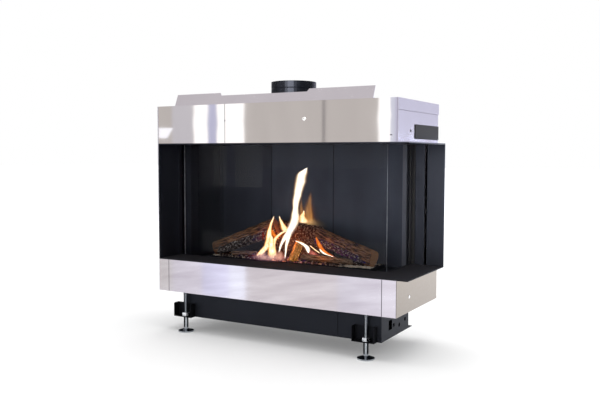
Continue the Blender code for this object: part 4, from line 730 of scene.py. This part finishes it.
def make_flames():
    """The tongues of fire and the glow on the bed, from the main flame outwards."""
    flame("main_flame", WHITE_GAS, 190, [
        (408, 321, 13), (416, 341, 16), (421, 352, 18), (429, 364, 18), (435, 375, 18), (439, 386, 18), (441, 396, 18),
        (442, 407, 16), (442, 418, 14), (443, 429, 12), (444, 440, 13), (445, 453, 14), (450, 472, 16), (456, 496, 18),
        (461, 517, 21), (465, 539, 20), (469, 547, 19), (474, 554, 16), (480, 560, 10), (489, 568, 2),
    ])
    flame("main_flame_left_root", WHITE_GAS, 192, [
        (375, 272, 1.5), (378, 281, 2.8), (381, 292, 4.6), (386, 303, 6), (392, 314, 8), (401, 326, 11), (409, 338, 12),
        (418, 352, 9),
    ])
    flame("main_flame_right_root", WHITE_GAS, 188, [
        (402, 252, 1.8), (403, 262, 2.6), (405, 275, 3.6), (406, 288, 4.8), (408, 301, 6), (411, 312, 7.5),
        (414, 322, 9), (417, 334, 11), (422, 348, 9),
    ])
    flame("second_flame", VEIL_GAS, 280, [
        (450, 355, 49.7), (445, 371, 39.4), (441, 389, 32.1), (441, 406, 28), (442, 423, 23.8), (445, 439, 18.6),
        (448, 455, 13.5), (451, 469, 9.3), (452, 486, 3.1),
    ], (1.5, 0.2))
    flame("second_flame_left", VEIL_GAS, 282, [
        (419, 368, 18.6), (417, 382, 17.6), (416, 397, 14.5), (414, 413, 11.4), (412, 429, 8.3), (413, 442, 5.2),
        (415, 457, 2.1),
    ], (1.5, 0.3))
    flame("second_flame_streak", VEIL_GAS, 282, [
        (454, 368, 14.5), (454, 382, 11.4), (453, 395, 9.3), (452, 410, 7.2), (451, 426, 5.7), (451, 443, 4.1),
        (451, 461, 3.1), (451, 482, 1),
    ], (1.6, 0.2))
    flame("root_flame", YELLOW_GAS, 276, [
        (426, 370, 22.7), (425, 380, 20.7), (422, 389, 16.6), (421, 395, 12.5), (423, 401, 9.3), (426, 407, 4.7),
        (427, 415, 1.6),
    ])
    flame("left_flame", YELLOW_GAS, None, [
        (303, 256, 5, 186), (309, 265, 8, 184), (322, 276, 10, 177), (335, 287, 11.9, 171), (345, 299, 12.9, 163),
        (354, 311, 13.8, 156), (362, 323, 13.8, 149), (364, 334, 12.8, 146), (365, 345, 10.8, 146),
        (366, 356, 8.3, 146), (369, 366, 5.9, 146), (372, 376, 4.9, 146), (376, 385, 4.5, 146), (380, 393, 3.4, 146),
        (384, 404, 1.2, 146),
    ])
    flame("left_flame_middle", YELLOW_GAS, None, [
        (352, 252, 14, 184), (353, 264, 18, 183), (358, 282, 16.9, 173), (362, 295, 14.9, 165), (366, 308, 14.8, 157),
        (370, 322, 12.8, 149), (370, 337, 6.9, 146),
    ])
    flame("left_flame_outer", YELLOW_GAS, None, [
        (290, 256, 4, 184), (299, 264, 7, 183), (311, 274, 7, 177), (324, 285, 6, 171), (335, 296, 3, 164),
    ])
    flame("left_sweep_flame", YELLOW_GAS, None, [
        (364, 254, 8, 188), (365, 273, 8, 181), (370, 293, 6.9, 168), (378, 310, 6.9, 157), (388, 324, 7.4, 148),
        (397, 334, 7.8, 146), (407, 342, 7.4, 146), (418, 349, 7.4, 146), (431, 355, 5.9, 146),
    ])
    flame("left_red_flame", ORANGE_GAS, 150, [
        (398, 324, 8.8), (389, 331, 9.8), (382, 338, 8.3), (377, 347, 5.9), (373, 356, 2),
    ])
    flame("left_red_flame_right", ORANGE_GAS, 151, [
        (392, 328, 7.8), (402, 337, 8.8), (409, 344, 8.3), (419, 350, 6.9), (429, 356, 3.9),
    ])
    flame("left_flame_tip", YELLOW_GAS, 188, [
        (406, 344, 9), (402, 353, 14), (399, 360, 13.5), (394, 368, 11), (390, 375, 8.5), (386, 383, 6),
        (382, 391, 3.5), (379, 400, 1.2),
    ])
    flame("bed_glow_left", PINK_GAS, 172, [
        (311, 250, 44), (315, 256, 40), (319, 264, 32), (324, 272, 22), (328, 282, 8),
    ], (1.4, 0.3))
    flame("bed_glow_middle", PINK_GAS, 172, [
        (377, 250, 40), (377, 256, 38), (376, 262, 32), (377, 269, 22), (376, 277, 8),
    ], (1.3, 0.3))
    flame("bed_glow_front", PINK_GAS, 150, [
        (352, 251, 84), (354, 254, 78), (356, 258, 62), (358, 263, 36), (360, 269, 8),
    ], (1.2, 0.3))
    flame("right_flame", ORANGE_GAS, 186, [
        (600, 266, 2), (586, 275, 7), (572, 281, 11), (557, 288, 11), (548, 296, 10), (541, 305, 9.5), (536, 313, 9),
        (532, 320, 7.5), (528, 328, 5), (524, 337, 1.5),
    ])
    flame("right_flame_root", WHITE_GAS, 184, [
        (594, 271, 2.5), (586, 275, 5), (574, 278, 8), (561, 281, 8.5), (549, 288, 6.5), (540, 297, 3),
    ])
    flame("front_flame", WHITE_GAS, 178, [
        (447, 320, 1.2), (457, 317, 5.5), (470, 314, 10), (481, 309, 11), (491, 303, 11), (497, 296, 10), (499, 288, 7),
        (500, 281, 3),
    ])
    flame("front_flame_tail", YELLOW_GAS, 179, [
        (505, 307, 2.2), (515, 300, 3.2), (524, 294, 3.4), (533, 289, 4), (543, 283, 3),
    ])
    flame("right_bed_glow", RED_GAS, 205, [
        (510, 252, 24), (508, 265, 26), (505, 272, 25), (500, 279, 20), (492, 287, 11), (487, 294, 3),
    ], (1.3, 0.3))
    flame("bed_glow_warm", SALMON_GAS, 158, [
        (397, 250, 24), (398, 257, 25), (399, 265, 24), (400, 273, 20), (400, 281, 14), (399, 290, 4),
    ], (1.3, 0.3))


def strip(name, low, high, finish, body="casing", bevel=0.1):
    """A thin straight trim between two corners on the drawing, with its edges broken by the bevel in millimetres."""
    shape = bmesh.new()
    bmesh.ops.create_cube(shape, size=1)
    first, last = at(*low), at(*high)
    for vert in shape.verts:
        vert.co = Vector(m + c * s for m, c, s in zip((first + last) / 2, vert.co, last - first))
    bmesh.ops.bevel(shape, geom=shape.edges[:], offset=bevel * MM, segments=2, affect="EDGES")
    piece(name, mesh_of(name, shape), finish, body)


def front_seam_shade(name, start, end, box, finish=BOX_BLACK, deep=0.6):
    """A dark strip up the front of a sheet, between two places along, in millimetres, as painted shade of the seam
    there.
    """
    low, high = box[0].z + SEAM_SHADE_GAP, box[1].z - SEAM_SHADE_GAP
    strip(name, (start, -SEAM_SHADE_PROUD, low), (end, deep, high), finish)


def make_trim():
    """Thin dark strips where sheets meet, painted shade of the seams' gaps, the seal at the rear glass post, the plug
    in the upper front sheet's slot, and the front pane's two ground edges, made pale as a painted highlight."""
    opening_low = drawn_box("floor_plate")[1].z + 1
    opening_high = drawn_box("top_plate")[0].z - 1
    band = drawn_box("lower_front_panel")
    # Dark strips at the lower band's two ends, painted shade of the seams
    for name, along in (("lower_left_joint", band[0].x), ("lower_right_joint", band[1].x)):
        front_seam_shade(name, along - 0.9, along + 0.9, band)
    sheet = drawn_box("upper_front_panel_right")
    # A dark strip where the upper front sheets meet, painted shade of the seam
    front_seam_shade("upper_front_joint", sheet[0].x - 1.1, sheet[0].x + 0.7, sheet)
    low, high = drawn_box("upper_right_panel")
    lip = drawn_box("casing_lid")[1].z - LID_LIP
    # A dark strip under the lid's lip, painted shadow of the lip
    strip("lid_joint", (high.x, low.y + 1, lip - 0.6), (high.x + 0.9, high.y - 1, lip - 0.1), BOX_BLACK)
    # Dark strips over the gaps between the rear lining plates, painted shade of the gaps
    for name in ("rear_liner_middle", "rear_liner_right"):
        low, high = drawn_box(name)
        strip(name + "_joint", (low.x - 1.6, low.y - 0.3, opening_low), (low.x + 0.6, low.y + 0.4, opening_high),
              SHADE_DARKENED_BLACK)
    low, high = drawn_box("rear_glass_post")
    for name, start, end, face in (("rear_seal_lip", 0.5, 5.6, low.y), ("rear_seal_band", 6.4, 17.6, low.y + 6)):
        strip(name, (low.x + start, face - 0.6, opening_low), (low.x + end, face + 0.1, opening_high), ROPE,
              bevel=0.2)
    # A dark line near the front's right corner, painted shade of the corner seam
    front_seam_shade("upper_corner_joint", sheet[1].x - 3.6, sheet[1].x - 2.9, sheet, FLUE_BLACK, 0.5)
    # A dark strip at the lower corner, painted shade of its seam
    low, high = drawn_box("lower_right_corner_panel")
    strip("lower_corner_joint", (high.x - 1.3, low.y - SEAM_SHADE_PROUD, low.z + SEAM_SHADE_GAP),
          (high.x - 0.2, low.y + 0.5, high.z - SEAM_SHADE_GAP), BOX_BLACK)
    strip("front_slot_plug", (865, -0.3, 667), (872, 0.5, 669.4), BOX_BLACK, bevel=0.2)
    low, high = drawn_box("front_glass")
    # Pale strips on the front pane's two edges, painted highlight
    strip("left_glass_edge", (low.x - 0.2, low.y + 0.2, opening_low), (low.x + 0.8, high.y - 0.2, opening_high),
          GLASS_EDGE_HIGHLIGHT, "front_pane")
    strip("glass_corner_highlight", (high.x - 1.0, low.y - 0.2, opening_low), (high.x + 0.1, low.y + 0.8, opening_high),
          GLASS_EDGE_HIGHLIGHT, "front_pane")


def dome(name, centre, radius, rise, facing, finish):
    """A low domed rivet or plug head, seated on a face and turned to its outward direction."""
    shape = bmesh.new()
    bmesh.ops.create_uvsphere(shape, u_segments=24, v_segments=12, radius=radius * MM)
    bmesh.ops.bisect_plane(shape, geom=shape.verts[:] + shape.edges[:] + shape.faces[:], dist=0.001 * MM,
                           plane_co=(0, 0, 0), plane_no=(0, 0, 1), clear_inner=True)
    bmesh.ops.contextual_create(shape, geom=[e for e in shape.edges if e.is_boundary])
    bmesh.ops.scale(shape, vec=(1, 1, rise / radius), verts=shape.verts)
    turned_out = Vector(facing).to_track_quat("Z", "Y").to_matrix()
    for vert in shape.verts:
        vert.co = turned_out @ vert.co + at(*centre)
    piece(name, mesh_of(name, shape), finish)


def foot_nut(corner):
    """A plated hexagon nut with turned-off corners and a bore for the foot, over the nut welded in its bracket."""
    foot_low, foot_high = drawn_box(corner + "_foot")
    middle = (foot_low + foot_high) / 2
    seat = drawn_box(corner + "_foot_bracket")[0].z + NUT_LIFT
    shape = bmesh.new()
    rings = []
    for height, radius in NUT_RINGS:
        ring = []
        for step in range(NUT_SIDES):
            angle = math.tau * step / NUT_SIDES
            # Outside the bore a flat side pulls the round in between two corners of the hexagon
            flat = math.cos(math.pi / 6) / math.cos(angle % (math.tau / 6) - math.pi / 6) if radius > NUT_BORE else 1
            reach = radius * flat
            place = at(middle.x + reach * math.cos(angle), middle.y + reach * math.sin(angle), seat + height)
            ring.append(shape.verts.new(place))
        rings.append(ring)
    join_rings(shape, rings + rings[:1])
    piece(corner + "_nut", mesh_of(corner + "_nut", shape), NUT_STEEL, smooth=False)


def make_small_hardware():
    """The plugs in the front and lower side sheets, pure white as a painted highlight of the bright spot in each hole,
    a rivet at the left, a black screw at the side, the nuts.
    """
    dome("front_hole_plug", (582, 0, 721), 6.2, 1.6, (0, -1, 0), WHITE_PLUG_HIGHLIGHT)
    dome("front_rivet", (43, 0, 664), 2.0, 0.8, (0, -1, 0), ZINC)
    dome("lower_side_plug", (890, 102, 184), 5.4, 1.4, (1, 0, 0), WHITE_PLUG_HIGHLIGHT)
    dome("upper_side_screw", (888.2, 104, 682.3), 4.4, 0.9, (1, 0, 0), SHADE_DARKENED_BLACK)
    for corner in CORNERS:
        foot_nut(corner)


# Camera, light and room


def in_scene(name, data):
    """An object made from a camera, a light or a mesh, in the scene."""
    made = bpy.data.objects.new(name, data)
    bpy.context.scene.collection.objects.link(made)
    return made


def make_camera():
    camera = in_scene("camera", bpy.data.cameras.new("camera"))
    camera.data.lens = LENS
    camera.data.sensor_width = SENSOR
    turn = (
        Matrix.Rotation(math.radians(CAMERA_TURN), 4, "Z")
        @ Matrix.Rotation(math.radians(90 - CAMERA_DIP), 4, "X")
        @ Matrix.Rotation(math.radians(CAMERA_ROLL), 4, "Z")
    )
    camera.matrix_world = Matrix.Translation(CAMERA_PLACE) @ turn
    bpy.context.scene.camera = camera


def lamp(name, kind, place, power, colour="#ffffff"):
    """A light of that power in watts, which shiny surfaces don't mirror."""
    made = in_scene(name, bpy.data.lights.new(name, kind))
    made.data.energy = power
    made.data.color = linear(colour)[:3]
    made.location = place
    hide_from(made, "glossy")
    return made


def soft_box(name, place, target, size, power):
    """A rectangular soft box at a place, turned to a target."""
    made = lamp(name, "AREA", place, power)
    made.data.shape = "RECTANGLE"
    made.data.size, made.data.size_y = size
    made.rotation_euler = (Vector(target) - Vector(place)).to_track_quat("-Z", "Y").to_euler()


def firelight(name, place, power):
    """A warm light of the flames' own on the logs and the walls round them."""
    made = lamp(name, "POINT", at(*place), power, "#ff9a50")
    made.data.shadow_soft_size = 20 * MM
    hide_from(made, "camera", "transmission")


def pale_floor():
    """A pale seamless floor that keeps the shadow. The camera, mirrors and glass see a light of its own on it, which
    grows away from the object."""
    made, tree = blank("pale_studio_floor")
    path = add(tree, "LightPath").outputs
    seen = add(tree, "Math", {0: path["Is Camera Ray"], 1: path["Is Glossy Ray"]}, operation="ADD")
    seen = add(tree, "Math", {0: seen, 1: path["Is Transmission Ray"]}, operation="ADD", use_clamp=True)
    away = add(tree, "VectorMath", {0: add(tree, "TexCoord").outputs["Object"]}, operation="LENGTH").outputs["Value"]
    level = between(tree, away, 0.18, 1.0, 0.9, 3.0)
    made.cycles.emission_sampling = "NONE"
    return surfaced(made, {
        "Base Color": between(tree, cloud(tree, (900, 900, 900), 2.0), "#e4e4e4", "#e8e8e8"),
        "Roughness": 1.0,
        "Specular IOR Level": 0.0,
        "Emission Color": linear("#ffffff"),
        "Emission Strength": add(tree, "Math", {0: seen, 1: level}, operation="MULTIPLY"),
    })


def make_floor():
    shape = bmesh.new()
    bmesh.ops.create_grid(shape, x_segments=4, y_segments=4, size=FLOOR_REACH)
    mesh = mesh_of("studio_floor", shape)
    mesh.materials.append(pale_floor())
    in_scene("studio_floor", mesh)


def board_on_stand(name, corners, tone, strength, light=None):
    """A card that shows only in reflections, lit evenly or with a share of the light for each corner."""
    made, tree = blank(name + "_light")
    share = add(tree, "Attribute", attribute_name="light").outputs["Fac"]
    level = add(tree, "Math", {0: share, 1: strength}, operation="MULTIPLY")
    shown = add(tree, "Emission", {"Color": linear(tone), "Strength": level})
    add(tree, "OutputMaterial", {"Surface": shown})
    made.cycles.emission_sampling = "NONE"
    mesh = bpy.data.meshes.new(name)
    mesh.from_pydata(corners, [], [tuple(range(len(corners)))])
    write_values(mesh, "light", light or [1.0] * len(corners))
    mesh.materials.append(made)
    board = in_scene(name, mesh)
    hide_from(board, "camera", "diffuse", "shadow", "transmission")


def card(name, outline, tone, strength, ahead=FAR_CARDS, light=None):
    """A card in front of the casing, placed so that the flat front mirrors it in that outline of along and up."""
    face = CASING_CORNER.y
    mirrored = Vector((CAMERA_PLACE[0], 2 * face - CAMERA_PLACE[1], CAMERA_PLACE[2]))
    reach = (mirrored.y - face + ahead) / (mirrored.y - face)
    corners = [mirrored + (at(along, 0, up) - mirrored) * reach for along, up in outline]
    board_on_stand(name, corners, tone, strength, light)


def tall(start, end, bow=(0, 0)):
    """The outline of an upright card between two places along the front, with its sides bent by that much."""
    heights = (CARD_HIGH, CARD_BEND + CARD_BEND_SPREAD, CARD_BEND, CARD_BEND - CARD_BEND_SPREAD, CARD_LOW)
    left, right = (
        [(side + (bent if up == CARD_BEND else 0), up) for up in heights] for side, bent in zip((start, end), bow)
    )
    return left + right[::-1]


def shade_foot(corner):
    """Low dark boards round a front foot, open towards the camera, so that its polished stem has dark sides."""
    low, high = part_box(corner + "_foot")
    middle = (low + high) / 2
    ahead = math.atan2(CAMERA_PLACE[1] - middle.y, CAMERA_PLACE[0] - middle.x)
    for side, way in (("left", -1), ("right", 1)):
        turns = [ahead + way * math.radians(angle) for angle in FOOT_SHADE_ANGLES]
        reach = FOOT_SHADE_REACH
        places = [(middle.x + reach * math.cos(turn), middle.y + reach * math.sin(turn)) for turn in turns]
        for part, (first, last) in enumerate(zip(places, places[1:])):
            heights = ((first, FOOT_SHADE_LOW), (last, FOOT_SHADE_LOW), (last, FOOT_SHADE_TOP), (first, FOOT_SHADE_TOP))
            corners = [(*place, height) for place, height in heights]
            board_on_stand(f"{corner}_shade_{side}_{part}", corners, "#202226", 0.6)


def make_cards():
    """The cards and boards that only reflections see."""
    card("tall_card_left", tall(159, 218, bow=(-4, -3)), "#ffffff", 1.5)
    card("tall_card_left_edge", tall(219, 252, bow=(-3, 4)), "#cdcfec", 1.02)
    card("tall_card_right", tall(253, 363, bow=(4, -2)), "#ffffff", 1.5)
    card("far_card", tall(829, 866, bow=(-3, 3)), "#ffffff", 1.5)
    card("far_card_edge", tall(866, 880), "#eaeeff", 1.0)
    card("far_card_shade", tall(880, 893), "#d8d7f0", 1.0)
    card("dark_pole", tall(645, 656), "#a8a4a4", 0.9)
    card("small_card", ((3, 667), (43, 665), (70, 701), (6, 702)), "#f6f8ff", 1.5)
    # Low cards that the lower band mirrors, side by side: start and end along, tone, strength, and light by corner
    for name, start, end, tone, strength, light in (
        ("low_card_shade", -60, 60, "#fffdf6", 0.94, None),
        ("low_card_left", 60, 190, "#fdfbff", 1.12, (0.86, 1.0, 1.0, 0.86)),
        ("low_card_blue", 190, 300, "#eceeff", 1.5, (0.78, 0.98, 1.0, 0.8)),
        ("low_card", 300, 366, "#f4f9ff", 1.56, (0.94, 1.0, 1.03, 0.98)),
        ("low_card_middle", 366, 700, "#fffbf8", 1.06, (0.94, 1.0, 1.0, 0.96)),
        ("low_card_right", 700, 910, "#fcfbff", 1.24, (0.86, 1.0, 1.0, 0.86)),
    ):
        card(name, ((start, 60), (end, 60), (end, 330), (start, 330)), tone, strength, LOW_CARDS, light)
    card("pale_card", tall(66, 156), "#dad8df", 1.0)
    # Behind on the right, where the side glass mirrors it
    corners = [(0.9, 3.0, 0.0), (2.3, 2.6, 0.0), (2.3, 2.6, 0.6), (0.9, 3.0, 0.6)]
    board_on_stand("side_glass_card", corners, "#dfe8ff", 6.2)
    # High in front, for a broad shine on what faces it
    corners = [(-0.35, -2.6, 0.5), (1.5, -2.6, 0.5), (1.5, -2.6, 2.4), (-0.35, -2.6, 2.4)]
    board_on_stand("key_card", corners, "#fffaf0", 7.0)
    # Dark carpet on the floor in front, where the front glass mirrors it
    corners = [(0.0, -2.2, 0.003), (-3.0, -2.2, 0.003), (-36.0, -29.0, 0.003), (-8.0, -29.0, 0.003)]
    board_on_stand("dark_carpet", corners, "#83848a", 1.0)
    for corner in ("front_left", "front_right"):
        shade_foot(corner)


def make_room_light():
    """White to the camera, a plain level for diffuse light, and for reflections the walls of a studio: pale in front
    and behind on the right, dark at the sides."""
    world = bpy.data.worlds.new("studio_room")
    bpy.context.scene.world = world
    world.use_nodes = True
    tree = world.node_tree
    tree.nodes.clear()
    direction = add(tree, "SeparateXYZ", {0: add(tree, "TexCoord").outputs["Generated"]}).outputs
    ahead = add(tree, "Math", {0: direction[1], 1: -1.0}, operation="MULTIPLY")
    turn = add(tree, "Math", {0: direction[0], 1: ahead}, operation="ARCTAN2")
    walls = add(tree, "ValToRGB", {"Fac": between(tree, turn, 0.0, 1.0, -math.pi, math.pi)}, ROOM_WALLS)
    path = add(tree, "LightPath").outputs
    plain = add(tree, "Background", {"Color": linear("#ffffff"), "Strength": 0.55})
    mirrored = add(tree, "Background", {"Color": walls, "Strength": 1.0})
    white = add(tree, "Background", {"Color": linear("#ffffff"), "Strength": 1.0})
    shiny = add(tree, "MixShader", {0: path["Is Glossy Ray"], 1: plain, 2: mirrored})
    seen = add(tree, "Math", {0: path["Is Camera Ray"], 1: path["Is Transmission Ray"]}, operation="MAXIMUM")
    add(tree, "OutputWorld", {"Surface": add(tree, "MixShader", {0: seen, 1: shiny, 2: white})})


make_logs()
make_ember_bed()
make_ash_chips()
make_flames()
make_trim()
make_small_hardware()
make_camera()
soft_box("overhead_soft_box", (0.0, 0.35, 2.6), (0, 0, 0.3), (2.6, 2.6), 67)
soft_box("front_left_soft_box", (-2.2, -2.4, 1.6), (0, 0, 0.4), (1.6, 1.6), 9)
soft_box("right_soft_box", (2.4, 0.4, 1.5), (0.2, 0, 0.4), (1.4, 1.6), 8)
firelight("firelight", (402, 158, 332), 0.36)
firelight("low_firelight", (560, 150, 285), 0.09)
make_floor()
make_cards()
make_room_light()

bpy.context.scene.view_settings.view_transform = "Standard"
bpy.context.scene.cycles.transparent_max_bounces = 96
